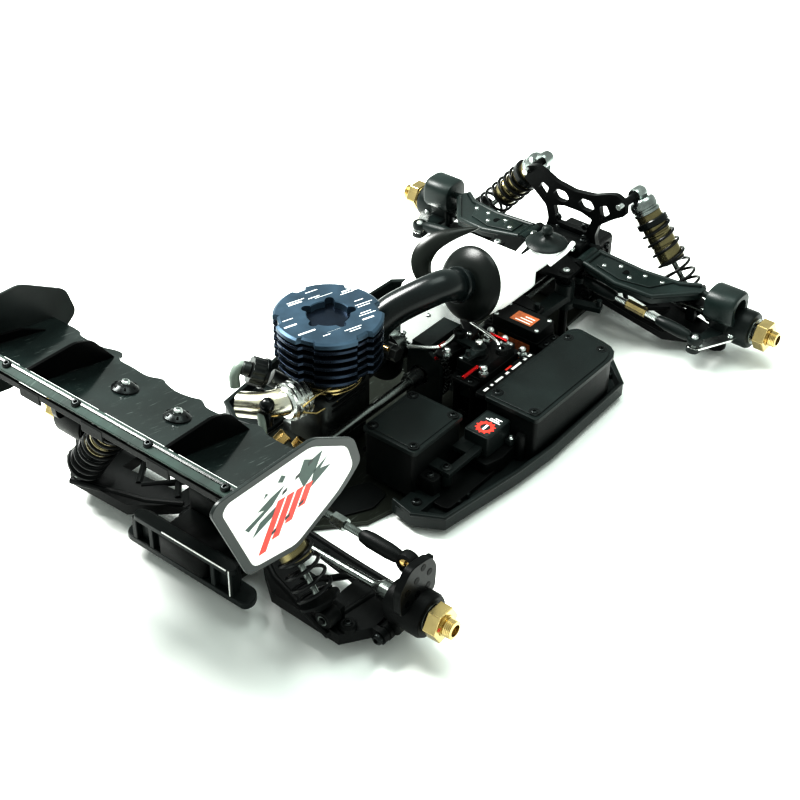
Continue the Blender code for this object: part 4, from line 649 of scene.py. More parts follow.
def graphic(node, middle, y, side):
    """A made-up pattern: four red slanted bars, each shorter than the last, on grey-green brush strokes."""
    def layer(name, material, outlines, lift):
        made = Part(f"{node}_{name}", material)
        low, high = sorted((y + side * 0.02, y + side * lift))
        for outline in outlines:
            made.slab([(middle.x + px, middle.y + pz) for px, pz in outline], low, high, "y")
        made.done()

    brush = [
        [(-27, 2), (-12, 7), (-4, 13), (-13, 11.5), (-21, 9), (-17, 7.5), (-29, 4.5)],
        [(-25, -3), (-11, 1), (-9, 5), (-20, 2.5)],
        [(8, 4), (16, 9), (21, 17), (14, 16), (9, 19), (5, 12)],
        [(12, 1), (26, 6), (19, 8), (24, 12), (15, 9)],
        [(-8, 17), (-5.5, 19.5), (-3, 17.5), (-5, 15.2)],
        [(-17, 13.5), (-14, 14.5), (-15.5, 15.8)],
    ]
    layer("brush", SAGE, brush, 0.10)
    stripes = []
    for k in range(4):
        x, z, rise = -22 + 8.6 * k, -15 + 3.4 * k, 22 - 4.2 * k
        stripes.append([(x, z), (x + 4.6, z - 0.5), (x + 4.6 + 0.62 * rise, z + rise - 0.5),
                        (x + 0.62 * rise, z + rise)])
    layer("stripes", RED, stripes, 0.14)
    dashes = [[(x - 1.6, z - 1.0), (x + 1.2, z - 0.4), (x + 1.8, z + 1.2), (x - 1.2, z + 0.6)]
              for x, z in ((-4, 9.5), (4.5, 12.5), (13, 15), (-12, -8), (-3, -5.5), (6, -3.5))]
    layer("dashes", GRAPHITE, dashes, 0.18)


# ---------------------------------------------------------------- engine

def head_outline(radius, notch, steps=96):
    """A round fin whose edge is cut back in six places."""
    points = []
    for k in range(steps):
        angle = 360 * k / steps
        cut = 0.0
        for centre in (15, 75, 143, 197, 263, 323):
            away = abs((angle - centre + 180) % 360 - 180)
            if away < 9:
                cut = notch
        points.append(((radius - cut) * math.cos(math.radians(angle)),
                       (radius - cut) * math.sin(math.radians(angle))))
    return points


def cooling_head():
    box = Box("cooling_head")
    cx, cy, top = box.cx, box.cy, box.z1
    radius = (box.x1 - box.x0) / 2
    pitch, thick = 5.2, 2.0
    # The fins take the darker blue: painted shade between them.
    fins = Part("head_fins", HEAD_FIN)
    for k in range(1, 6):
        z = top - pitch * k
        outline = [(cx + x, cy + y) for x, y in head_outline(radius - 0.2, HEAD_NOTCH)]
        fins.slab(outline, z - thick, z)
    fins.turned([(14.5, box.z0), (15.5, box.z0 + 4), (15.5, top - 4)], (cx, cy, 0), UP, 40)
    fins.done(bevel=0.25, replaces=("cooling_head",), smooth=30)

    # The top plate, with a keyed bowl that goes down to the glow plug.
    def hole(reach, lobe, steps=HEAD_STEPS):
        ring = []
        for k in range(steps):
            angle = TAU * k / steps
            away = min(abs((math.degrees(angle) - lobe_at + 180) % 360 - 180)
                       for lobe_at in (38, 110, 182, 254, 326))
            across = reach
            offset = math.radians(away)
            centre, size = 13.0, 2.6
            inside = size**2 - (centre * math.sin(offset)) ** 2
            if lobe and inside > 0:
                across = max(reach, centre * math.cos(offset) + math.sqrt(inside))
            ring.append((across * math.cos(angle), across * math.sin(angle)))
        return ring

    plate = Part("head_top", HEAD)
    rim = []
    for reach, z in ((radius - 3.0, top - 4.4), (radius, top - 3.4), (radius, top - 1.0),
                     (radius - 1.4, top)):
        rim.append([Vector((cx + x, cy + y, z)) for x, y in head_outline(reach, HEAD_NOTCH, HEAD_STEPS)])
    bowl = [[Vector((cx + x, cy + y, top)) for x, y in hole(12.4, True)],
            [Vector((cx + x, cy + y, top - 0.5)) for x, y in hole(11.9, True)],
            [Vector((cx + x, cy + y, top - 8)) for x, y in hole(11.0, True)],
            [Vector((cx + x, cy + y, top - 14)) for x, y in hole(10.4, False)],
            [Vector((cx + x, cy + y, top - 15)) for x, y in hole(4.0, False)]]
    plate.loft(rim + bowl)
    plate.done(smooth=35)
    plug = Part("glow_plug", BOLT_SILVER)
    plug.hexagon((cx, cy, top - 14), (cx, cy, top - 10.5), 6.5)
    plug.turned([(1.5, -10.5), (1.5, -7.5), (1.0, -7)], (cx, cy, top), UP, 16)
    for k in range(5):
        angle = math.radians(38 + 72 * k)
        plug.screw((cx + BOLT_CIRCLE * math.cos(angle), cy + BOLT_CIRCLE * math.sin(angle), top - 10), UP,
                   1.9)
    plug.done(bevel=0.15)

    # Etched marks: a made-up pattern of short parallel bars round the bowl.
    lines = Part("head_etching", WHITE)

    def stroke(a, b, width, strips=8):
        """A bar of thin strips, less the strips that would cross the bowl or the notched edge."""
        along = (b - a).normalized()
        aside = Vector((-along.y, along.x)) * width / 2
        a, b = a - along * width / 2, b + along * width / 2
        for k in range(strips):
            low, high = k / strips, (k + 1) / strips
            strip = [(end - aside).lerp(end + aside, share)
                     for end, share in ((a, low), (b, low), (b, high), (a, high))]
            reaches = [p.length for p in strip]
            if max(reaches) < radius - ETCHING_MARGIN and min(reaches) > BOWL_LOBE_REACH:
                lines.slab([(cx + p.x, cy + p.y) for p in strip], top + 0.01, top + 0.06)

    turned_by = math.radians(-18)
    run = Vector((math.cos(turned_by), math.sin(turned_by)))
    across = Vector((-run.y, run.x))
    for row in range(-14, 15):
        offset = row * ETCHING_PITCH
        for k in range(4):
            phase = math.sin(row * 2.3 + k * 1.7)
            start = -27 + 14 * k + 3.5 * phase
            length = 6.5 + 4.0 * math.sin(row * 1.1 + k * 2.9)
            if length > 3.4 and phase < 0.9:
                stroke(run * start + across * offset, run * (start + length) + across * offset,
                       1.15 if (row + k) % 5 == 0 else 0.55)
    lines.done(merge=False)


def engine():
    cooling_head()
    head = Box("cooling_head")
    ex, ey = head.cx, head.cy
    crank = joint_point("clutch_bell_spin")
    refined("engine_block", CAST, 0.9)
    collar = Part("head_collar", GOLD)
    collar.ring([(14.2, 0), (19.5, 0), (19.5, 1.6), (14.2, 1.6)], (ex, ey, head.z0 - 2.6), UP, 48)
    collar.ring([(14.2, 0), (18.6, 0), (18.6, 1.2), (14.2, 1.2)], (ex, ey, head.z0 - 5.4), UP, 48)
    collar.done(bevel=0.3)
    sleeve = Part("cylinder_fins", BLACK_METAL)
    for k in range(3):
        sleeve.slab([(ex + x, ey + y) for x, y in rounded([(-17, -15), (17, -15), (17, 15), (-17, 15)], 6)],
                    BLOCK_TOP - 9 + 3.6 * k, BLOCK_TOP - 7.4 + 3.6 * k)
    sleeve.done(bevel=0.3)
    bolts = Part("engine_bolts", BOLT)
    for sx in (-1, 1):
        for sy in (-1, 1):
            bolts.screw((ex + sx * 15, ey + sy * 12.5, BLOCK_TOP + 1.6), UP, 2.1)
    for k in range(4):
        angle = TAU * (k + 0.5) / 4
        bolts.screw((ex + 21.3, ey + 9 * math.cos(angle), crank.z + 9 * math.sin(angle)), (1, 0, 0), 1.8)
    bolts.done()

    # Carburettor: a body with a ribbed rubber neck, a slide with its bellows, needles and a fuel nipple.
    cx = CARB_X
    carb = Part("carburettor", CAST)
    carb.turned([(9.0, crank.z + 2), (9.6, crank.z + 5), (8.4, crank.z + 9), (8.4, 50), (9.2, 51),
                 (9.2, 52.5)],
                (cx, ey, 0), UP, 36)
    carb.rod((cx, ey - 15, crank.z + 11), (cx, ey + 13, crank.z + 11), 5.0, 24)
    carb.hexagon((cx, ey - 19, crank.z + 11), (cx, ey - 14, crank.z + 11), 8)
    carb.rod((cx - 6, ey - 2, crank.z + 16), (cx - 6, ey - 13, crank.z + 17), 2.2, 16)
    carb.done(bevel=0.3)
    bellows = Part("carburettor_bellows", GLOSS)
    profile = []
    for k in range(5):
        profile += [(4.0, 1.8 * k), (5.4, 1.8 * k + 0.9)]
    bellows.turned(profile + [(3.0, 9.6)], (cx, ey + 12.5, crank.z + 11), (0, 1, 0), 24)
    bellows.done(smooth=20)
    needles = Part("carburettor_needles", BRASS)
    needles.hexagon((cx + 5, ey - 8, crank.z + 12), (cx + 10.5, ey - 8, crank.z + 12), 5)
    needles.rod((cx - 6, ey - 13, crank.z + 17), (cx - 6, ey - 16.5, crank.z + 17.2), 1.5, 14)
    needles.done(bevel=0.2)
    boot = Part("carburettor_neck", ELBOW)
    boot.ring([(8.2, 50.2), (9.9, 50.6), (10.1, 53.5), (9.4, 56.5), (8.0, 57)], (cx, ey, 0), UP, 36)
    boot.done()

    # Flywheel and clutch.
    wheel = Part("flywheel", BLACK_METAL)
    wheel.turned([(6, 0), (16.0, 0.4), (16.6, 1.2), (16.6, 4.2), (15.8, 5), (6, 5.4)],
                 (crank.x - 8.5, crank.y, crank.z), (1, 0, 0), 48)
    wheel.done(bevel=0.3)
    bell = Part("clutch_bell_look", STEEL, "clutch_bell")
    bx = Box("clutch_bell")
    bell.turned([(7, 0), (10.1, 0.2), (10.5, 0.9), (10.5, 7.2), (9.6, 8)], (bx.x0, crank.y, crank.z),
                (1, 0, 0), 40)
    bell.slab(gear_outline(15, crank.y, crank.z), bx.x0 + 7.6, bx.x1, "x")
    bell.rod((bx.x1 - 1, crank.y, crank.z), (bx.x1 + 1.6, crank.y, crank.z), 3.0, 20)
    for k in range(6):
        angle = TAU * k / 6
        bell.rod((bx.x0 + 7.4, crank.y + 7.4 * math.cos(angle), crank.z + 7.4 * math.sin(angle)),
                 (bx.x0 + 8.3, crank.y + 7.4 * math.cos(angle), crank.z + 7.4 * math.sin(angle)), 1.2, 12)
    bell.done(bevel=0.15, replaces=("clutch_bell",))


def gear_outline(teeth, cy, cz, module=0.8):
    radius = module * teeth / 2
    points = []
    for tooth in range(teeth):
        for share, reach in ((0.0, radius - 0.3), (0.35, radius - 0.3), (0.5, radius - 2.2),
                             (0.85, radius - 2.2)):
            angle = TAU * (tooth + share) / teeth
            points.append((cy + reach * math.cos(angle), cz + reach * math.sin(angle)))
    return points


def exhaust():
    box = Box("exhaust_manifold")
    x, z = box.x1, 48.0
    y = Box("cooling_head").cy
    pipe = Part("exhaust_pipe", HEATED)
    path = smooth_path([(x - 3, y, z), (x - 12, y + 2, z + 1), (x - 22, y + 9, z),
                        (x - 27, y + 23, z - 3)], 8)
    pipe.tube(path, [8.6 - 1.4 * k / (len(path) - 1) for k in range(len(path))], 32)
    pipe.done(replaces=("exhaust_manifold",))
    ribs = Part("exhaust_coupler", SILVER)
    profile = [(9.0, 0), (10.4, 0.4)]
    for k in range(4):
        profile += [(11.0, 1.0 + 3.2 * k), (11.2, 2.0 + 3.2 * k), (9.6, 2.7 + 3.2 * k),
                    (9.6, 3.2 + 3.2 * k)]
    ribs.turned(profile + [(9.0, 14)], (x - 1, y - 0.4, z), (-1, 0.16, 0.02), 40)
    ribs.done(smooth=24)
    knob = Part("pressure_fitting", CAST)
    fluted = []
    for k in range(48):
        reach = 7.4 + (0.7 if k % 4 < 2 else 0.0)
        fluted.append((reach * math.cos(TAU * k / 48), reach * math.sin(TAU * k / 48)))
    turn = axes_of((-0.55, 0.5, 0.35))
    knob.slab(fluted, 0, 8.5, at=(-95, 41, 55), turn=turn)
    knob.rod((-93, 38, 53), (-88, 32, 48), 5.0, 24)
    knob.turned([(3.0, 8), (4.5, 9), (4.0, 13), (2.6, 14)], (-95, 41, 55), (-0.55, 0.5, 0.35), 24)
    knob.done(bevel=0.3)
    seal = Part("pressure_fitting_ring", GLOSS)
    seal.ring([(7.6, -1.0), (9.0, -1.0), (9.0, 1.2), (7.6, 1.2)], (-95, 41, 55), (-0.55, 0.5, 0.35), 32)
    seal.done(bevel=0.3)
    hose = Part("pressure_elbow", GREY_RUBBER)
    hose.tube(smooth_path([(-100, 46, 59), (-104, 50, 61), (-108, 51, 57), (-109, 50, 50)], 6), 3.0, 16)
    hose.done()
    spring = Part("manifold_spring", GOLD)
    for lift in (-6, 6):
        spring.tube([(x - 12, y - 9.5, z + lift * 0.3), (x - 4, y - 12, z + lift),
                     (x + 12, y - 13.5, z + lift)], 0.7, 10)
    spring.done()
    stay = Part("exhaust_stay", GREY_RUBBER)
    stay.tube([(x - 24, y + 13, z - 4), (x - 27, y + 8, z + 1), (x - 30, y + 4, z - 6),
               (x - 31, y + 2, 30)], 2.2, 12)
    stay.done()
    knobs = Part("exhaust_stay_knob", GLOSS)
    knobs.ball((x - 25, y + 4.5, z + 4), 4.4, 24)
    knobs.rod((x - 25, y + 4.5, z), (x - 25, y + 4.5, z - 9), 3.0, 16)
    knobs.done()
    fittings = Part("exhaust_fittings", BRASS)
    fittings.hexagon((x - 27, y - 4, 32), (x - 22, y - 6, 36), 7)
    fittings.rod((x - 27, y - 4, 32), (x - 31, y - 2, 29), 2.4, 16)
    fittings.hexagon((x - 18, y - 9, 26), (x - 15, y - 11, 30), 6)
    fittings.done(bevel=0.3)


def air_filter():
    elbow = Part("air_elbow", ELBOW)
    y = Box("cooling_head").cy
    centre = Vector((27.0, -5.0, 72.0))
    axis = Vector((0.92, -0.10, -0.36)).normalized()
    path = smooth_path([(CARB_X, y, 55), (CARB_X + 0.3, y, 58), (CARB_X + 3, y - 1.5, 63),
                        (CARB_X + 13, y - 7, 70.5),
                        centre - axis * 24 + Vector((0, 0, -1.0)), centre - axis * 8, centre + axis * 1], 8)
    radii = [9.0 + 0.5 * math.sin(3 * k / len(path)) for k in range(len(path))]
    elbow.tube(path, radii, 40)
    elbow.ring([(8.9, 0), (10.4, 0.1), (10.8, 0.8), (10.8, 1.9), (10.2, 2.5), (8.9, 2.6)],
               centre - axis * 8.4, axis, 48)
    elbow.done(replaces=("air_filter",), smooth=40)
    dish = Part("air_filter_dish", DISH)
    dish.turned([(9, -1.2), (12.5, -0.8), (16, 0.4), (20.4, 3.0), (22.0, 4.6), (22.3, 5.4), (21.6, 5.6),
                 (19.6, 4.6),
                 (15, 2.6), (8, 2.2)], centre, axis, 56)
    dish.done(smooth=40)
    foam = Part("air_filter_foam", FOAM)
    foam.turned([(9, 2.6), (15.0, 3.0), (18.4, 5.0), (19.4, 9), (19.6, 14), (18.6, 19), (15.5, 23),
                 (10, 25), (4, 25.6)],
                centre, axis, 48)
    foam.done()

    # The cap of the filter: a curved leaf of plastic that wraps over the foam on its left.
    leaf = Part("air_filter_cap", LEAF)
    spine = smooth_path([(29, 20, 60), (29, 27, 66), (32, 30.5, 74), (39, 29, 81), (49, 22, 85.5),
                         (62, 11, 88)], 6)
    count = len(spine)
    rings = []
    for k, point in enumerate(spine):
        share = k / (count - 1)
        wide = 6.2 * math.sin(math.pi * min(share * 0.88 + 0.12, 1.0)) ** 0.8 + 0.15
        ahead = spine[min(k + 1, count - 1)] - spine[max(k - 1, 0)]
        ahead.normalize()
        out = Vector((-0.55, -0.35, 0.75)).normalized()
        across = ahead.cross(out).normalized()
        skin = across.cross(ahead).normalized()
        ring = []
        for step in range(-6, 7):
            t = step / 6
            ring.append(point + across * wide * t - skin * (wide * 0.34 * t * t))
        back = [p - skin * 0.9 for p in ring[::-1]]
        rings.append(ring + back)
    leaf.loft(rings)
    leaf.done(smooth=50)


# ---------------------------------------------------------------- fuel tank

def fuel_tank():
    box = Box("fuel_tank")
    tank = Part("fuel_tank_body", TANK)
    x0, y1 = box.x0, box.y1
    tank.box(x0 + 0.5, x0 + 33.5, 8.5, y1 - 0.5, 8.5, 49.5, 7)
    tank.box(x0 + 17, x0 + 61, -16, y1 - 4, 45, 62, 9)
    tank.done(bevel=2.6, replaces=("fuel_tank",), segments=4)
    lid = Box("fuel_tank_lid")
    neck = Part("fuel_tank_neck", TANK)
    nx, ny = lid.cx, lid.cy
    neck.tube(smooth_path([(x0 + 51, ny + 5, 56.5), (x0 + 58, ny + 3, 58.5), (nx - 5, ny + 1, 60.5)], 5),
              6.8, 28)
    neck.turned([(6, 57.5), (8.4, 58), (9.0, 59), (9.0, 65.2), (9.9, 65.6), (9.9, 66.8), (8.6, 67.0)],
                (nx, ny, 0), UP, 40)
    neck.done(smooth=40)
    strap = Part("fuel_tank_bracket", TANK)
    strap.tube([(nx - 12, ny - 11, 63), (nx + 2, ny - 12.5, 65.6), (nx + 13, ny - 11, 66)], 1.6, 12)
    strap.tube([(nx - 13, ny + 12, 62), (nx, ny + 12, 65.6), (nx + 12, ny + 10, 66)], 1.6, 12)
    strap.done()
    cap = Part("fuel_tank_lid_look", NYLON_GREY, "fuel_tank_lid")
    base = lid.z0
    cap.turned([(10, 0.0), (12.6, 0.5), (13.0, 1.2), (12.2, 2.0), (8, 3.0), (5, 3.3), (3.0, 4.6),
                (2.1, 5.4), (2.1, 7)],
               (nx, ny, base), UP, 48)
    cap.ball((nx, ny, base + 9.4), 3.6, 28)
    cap.rod((nx + 10.5, ny - 4.5, base + 0.9), (nx + 10.5, ny + 4.5, base + 0.9), 1.3, 16)
    cap.done(replaces=("fuel_tank_lid",), smooth=40)
    feet = Part("fuel_tank_feet", NYLON)
    for x, y in ((x0 + 6, y1 - 2), (x0 + 28, y1 - 2), (x0 + 17, 5.5)):
        feet.turned([(4.2, 3.3), (4.2, 9), (3.2, 10.5)], (x, y, 0), UP, 20)
        feet.screw((x, y, 10.4), UP, 2.3)
    feet.done(bevel=0.3)


# ---------------------------------------------------------------- radio

def box_with_lid(name, outline, floor, top, screws, corner):
    case = Part(name, NYLON)
    case.slab(rounded(outline, corner), floor, top - 3.6)
    case.done(bevel=0.5)
    middle = Vector((sum(p[0] for p in outline) / len(outline), sum(p[1] for p in outline) / len(outline)))
    grown = []
    for point in outline:
        away = Vector(point) - middle
        grown.append((point[0] + math.copysign(1.0, away.x), point[1] + math.copysign(1.0, away.y)))
    # The lid is the lighter greenish nylon over a black case: painted light on its top face, where the overhead
    # light falls.
    lid = Part(f"{name}_lid", NYLON_GREY)
    lid.slab(rounded(grown, corner), top - 3.4, top - 0.6)
    shrunk = [(point[0] - math.copysign(1.2, (Vector(point) - middle).x),
               point[1] - math.copysign(1.2, (Vector(point) - middle).y)) for point in outline]
    lid.slab(rounded(shrunk, corner), top - 1.2, top)
    lid.done(bevel=0.4)
    bolts = Part(f"{name}_screws", BOLT)
    for x, y in screws:
        bolts.ring([(2.4, top - 1.2), (3.3, top - 1.2), (3.3, top + 0.15), (2.4, top + 0.15)], (x, y, 0),
                   UP, 24)
        bolts.screw((x, y, top - 0.5), UP, 2.2, 1.2)
    bolts.done()


def radio():
    box = Box("radio_tray")
    x0, x1, y0, y1 = box.x1 - 89.5, box.x1 - 3.8, box.y0 + 0.8, -52.0
    floor = 6.6
    top = 38.0
    battery = [(x0, y0), (x1 - 1, y0), (x1 + 3, y1 - 4), (x1 - 2, y1), (x0, y1)]
    box_with_lid("battery_box", battery, floor, top, ((x0 + 4.5, y0 + 4.5), (x1 - 6.5, y0 + 8.5),
                                                      (x0 + 6, y1 - 4),
                                                       (x1 - 9, y1 - 4)), [2.5, 13, 7, 3, 2.5])
    rx0, rx1, ry0, ry1, rtop = box.x0 + 0.8, box.x0 + 42.8, -54.0, -19.0, 40.0
    receiver = [(rx0, ry0), (rx1, ry0), (rx1, ry1), (rx0, ry1)]
    box_with_lid("receiver_box", receiver, floor, rtop, ((rx0 + 3.4, ry0 + 3.4), (rx1 - 3.4, ry0 + 3.4),
                                                          (rx0 + 3.4, ry1 - 3.4), (rx1 - 3.4, ry1 - 3.4)),
                                                          2.6)
    tray = Part("radio_tray_base", NYLON)
    tray.box(rx0 + 2, x1 - 6, ry0 - 22, y1 + 2.5, floor, floor + 3, 4)
    tray.box(rx0 + 4, rx0 + 12, ry0 - 10, ry0 + 1, floor, 21, 2)
    tray.done(bevel=0.5, replaces=("radio_tray",))
    ears = Part("receiver_box_flange", NYLON_GREY)
    ear_z = 20.0
    ex0, ex1, ey0, ey1 = rx1 - 29, rx1 + 6, ry0 - 14, ry0 + 0.5
    for outline in ([(ex0, ey0), (ex1, ey0), (ex1, ey0 + 4.5), (ex0, ey0 + 4.5)],
                    [(ex0, ey0 + 4.5), (ex0 + 8, ey0 + 4.5), (ex0 + 8, ey1), (ex0, ey1)],
                    [(ex0 + 21, ey0 + 4.5), (ex1, ey0 + 4.5), (ex1, ey1), (ex0 + 21, ey1)]):
        ears.slab(outline, ear_z, ear_z + 3)
    ears.turned([(3.4, ear_z - 8), (3.4, ear_z + 3.4), (2.6, ear_z + 3.8)], (ex0 + 4, ey0 + 5, 0), UP, 24)
    ears.done(bevel=0.3, merge=False)
    bolt = Part("receiver_box_flange_screws", BOLT)
    bolt.screw((ex0 + 4, ey0 + 5, ear_z + 3.4), UP, 2.0)
    bolt.screw((rx0 + 8, ry0 - 5, 21), UP, 2.6)
    bolt.done()

    # The timing box stands between the two cases, on a shelf with a screw at each end.
    tx0, tx1, ty0, ty1, tz = rx1 + 1.5, x0 - 1.5, -71.0, -54.5, 30.0
    shelf = Part("timing_box_shelf", NYLON)
    shelf.slab(rounded([(tx0 - 5, ty0 - 3), (tx0 + 6, ty0 - 6), (tx1 + 1, ty0 - 5), (tx1 + 1, ty1 + 3),
                        (tx0 - 2, ty1 + 3)], 2),
               floor, 16.5)
    shelf.done(bevel=0.5)
    case = Part("timing_box", NYLON_GREY)
    case.box(tx0, tx1, ty0, ty1, 16.5, tz, 1.6)
    case.box(tx0 - 3.5, tx0 + 1, ty0 + 4, ty0 + 12, 16.5, 20.5, 1.2)
    case.box(tx1 - 6, tx1 + 0.8, ty0 - 4.5, ty0 + 1, 16.5, 20.5, 1.2)
    case.done(bevel=0.7, segments=3)
    feet = Part("timing_box_screws", BOLT_SILVER)
    feet.screw((tx0 - 2.2, ty0 + 8, 20.3), UP, 2.0)
    feet.screw((tx1 - 2.6, ty0 - 2.2, 20.3), UP, 2.0)
    feet.done()
    post = Part("tray_posts", NYLON)
    post.turned([(3.0, floor), (3.0, 22), (2.4, 23.5)], (tx1 + 0.2, ty0 - 7, 0), UP, 20)
    post.done()
    label = Part("timing_box_label", GRAPHITE)
    label.box(tx0 + 1.6, tx1 - 1.6, ty0 + 1.6, ty1 - 1.4, tz - 0.1, tz + 0.08, 0.8)
    label.done()
    ring = Part("timing_box_ring", RED)
    cx, cy = tx0 + 8.0, (ty0 + ty1) / 2 - 0.8
    ring.ring([(2.9, tz), (5.0, tz), (5.0, tz + 0.16), (2.9, tz + 0.16)], (cx, cy, 0), UP, 40)
    for k in range(12):
        angle = TAU * k / 12
        ring.rod((cx + 5.4 * math.cos(angle), cy + 5.4 * math.sin(angle), tz),
                 (cx + 5.4 * math.cos(angle), cy + 5.4 * math.sin(angle), tz + 0.14), 0.55, 8)
    ring.done(merge=False)
    bars = Part("timing_box_bars", WHITE)
    bars.box(cx - 2.4, cx + 2.4, cy - 0.7, cy + 0.7, tz, tz + 0.17)
    for k, (start, end) in enumerate(((0, 9.5), (1.5, 7.5), (0.5, 5.0))):
        bars.box(cx + 6.6 + 1.5 * k, cx + 7.3 + 1.5 * k, cy - 5.0 + start, cy - 5.0 + end, tz, tz + 0.15)
    bars.done()


# ---------------------------------------------------------------- chassis and cases

def chassis():
    refined("chassis_plate", PLATE, 0.8)
    for name, side in SIDES:
        refined(f"side_guard_{name}", NYLON_GREY, 0.7)
        box = Box(f"side_guard_{name}")
        ribs = Part(f"side_guard_ribs_{name}", NYLON_GREY)
        outer = max(abs(box.y0), abs(box.y1))
        for x in (-70, -62, 82):
            ribs.box(x, x + 2, *sorted((side * 51, side * (outer - 14))), box.z0 + 2.5, box.z1 - 3.5)
        ribs.box(-96, -72, *sorted((side * 52, side * 66)), box.z0 + 2.5, box.z0 + 7.5, 2)
        ribs.tube([(-97, side * 64, box.z1 - 1), (-88, side * (outer - 10.5), box.z1 - 1),
                   (-30, side * (outer - 3.0), box.z1 - 0.9), (0, side * (outer - 1.2), box.z1 - 0.9),
                   (76, side * (outer - 3.0), box.z1 - 0.9), (100, side * 62, box.z1 - 0.9)], 1.3, 10)
        ribs.done(bevel=0.3)
        bolts = Part(f"side_guard_screws_{name}", BOLT)
        for x, y in ((-86, 60), (-78, 58), (-40, 56), (30, 60), (70, 58)):
            bolts.screw((x, side * y, box.z0 + (7.5 if x < -80 else 3)), UP, 2.9)
        bolts.done()
    plate = Box("chassis_plate")
    marks = Part("chassis_screws", BOLT)
    for x, y in ((-118, 22), (-118, -22), (-98, -34), (-60, -4), (20, 46), (60, 46), (112, 12), (112, -12)):
        marks.screw((x, y, plate.z1 - 0.2), UP, 2.8, 1.0)
    marks.done()
    pad = Part("chassis_pad", NYLON)
    pad.slab(rounded([(-116, -30), (-98, -40), (-84, -38), (-82, -24), (-98, -16), (-112, -20)], 3),
             plate.z1, plate.z1 + 1.2)
    pad.done(bevel=0.4)


def gearboxes():
    refined("front_gearbox", NYLON, 0.6)
    refined("rear_gearbox", NYLON, 0.6)
    front, rear = Box("front_gearbox"), Box("rear_gearbox")
    ribs = Part("gearbox_ribs", NYLON)
    for x in (-172, -164, -156, 142, 150, 158, 166):
        for side in (1, -1):
            ribs.box(x, x + 1.8, *sorted((side * 16.5, side * 18.2)), 12, 40)
    ribs.done(bevel=0.3)
    bumper = Part("rear_bumper", NYLON_GREY)
    bumper.slab(rounded([(rear.x0 + 0.5, -44), (rear.x0 + 6, -46), (rear.x0 + 13, -42), (rear.x0 + 15, 40),
                         (rear.x0 + 8, 44), (rear.x0 + 1, 41)], 4), 9.5, 13.5)
    bumper.slab(rounded([(rear.x0 + 0.3, -35), (rear.x0 + 5, -37), (rear.x0 + 8, -33), (rear.x0 + 8, 32),
                         (rear.x0 + 4, 35), (rear.x0 + 0.3, 33)], 3), 27, 30.5)
    for y in (-34, -22, -11, 0, 11, 22, 34):
        bumper.box(rear.x0 + 1.2, rear.x0 + 7, y - 1.6, y + 1.6, 13, 27.5)
    bumper.box(rear.x0 + 4.5, rear.x0 + 11, -33, 32, 13, 27.5)
    bumper.done(bevel=0.6, merge=False)
    # Painted highlight: thin white strips along the bumper's top edge and down one rib stand for light caught on
    # those edges.
    edge_glint = Part("rear_bumper_edge_glint", WHITE)
    edge_glint.box(rear.x0, rear.x0 + 0.5, -33, 12, 30.1, 30.9)
    edge_glint.box(rear.x0, rear.x0 + 0.5, -35, -34.4, 14, 30.9)
    edge_glint.done(bevel=0.1, merge=False)
    bolts = Part("gearbox_screws", BOLT)
    for x, y, z in ((142, 13, front.z1), (142, -13, front.z1), (-158, 12, 62), (-158, -12, 62)):
        bolts.screw((x, y, min(z, front.z1 if x > 0 else rear.z1)), UP, 2.4)
    for x in (-150, -170, 145, 165):
        for side in (1, -1):
            bolts.screw((x, side * 17.2, 38), (0, side, 0), 2.0)
    for side in (1, -1):
        bolts.screw((front.x1 + 0.5, side * 22, 18), (1, 0, 0), 3.0)
        bolts.screw((rear.x0 + 21, side * 22, 17), (-1, 0, 0), 3.0)
    bolts.done()
    outputs = Part("drive_cups", STEEL)
    for _, side in SIDES:
        for x in (front.x1 - 20, -161.0):
            outputs.turned([(5.5, 16), (6.4, 16.5), (6.4, 20.5), (5.8, 21)], (x, 0, DRIVE_CUP_Z),
                           (0, side, 0), 28)
    outputs.done(bevel=0.3)


def front_tower(box, plate_x):
    """The front tower's plate: two six-sided windows over one wide one, and the shocks' pins."""
    foot, top = box.z0, box.z1
    half = [(20, foot), (17.5, foot + 9), (20, top - 25), (30, top - 17), (37.8, top - 12), (37.2, top - 3),
            (30, top), (24, top - 1.5), (14, top - 6), (0, top - 8)]
    outline = half + [(-y, z) for y, z in reversed(half[:-1])]
    windows = [[(-11, foot + 9), (11, foot + 9), (14.5, top - 23), (6, top - 20.5), (-6, top - 20.5),
                (-14.5, top - 23)]]
    for _, side in SIDES:
        windows.append([(side * (9.5 + 6.2 * math.cos(TAU * k / 6)),
                         top - 14.5 + 4.4 * math.sin(TAU * k / 6))
                        for k in range(6)])
        windows.append([(side * 21, top - 20), (side * 27, top - 14.5), (side * 24, top - 9.5),
                        (side * 19, top - 12)])
    plate = Part("front_shock_tower_look", BLACK_METAL)
    plate.pierced(rounded(outline, 2.0), [rounded(window, 1.3) for window in windows], plate_x,
                  plate_x + TOWER_T)
    for _, side in SIDES:
        y, z = side * TOWER_BOLT_Y["front"], top - 5
        plate.rod((plate_x + TOWER_T - 1, y, z), (plate_x + 13.7, y, z), 2.5, 20)
        plate.rod((plate_x + TOWER_T - 1, y, z), (box.x1, y, z), 1.5, 16)
    plate.done(bevel=0.45, replaces=("front_shock_tower",))


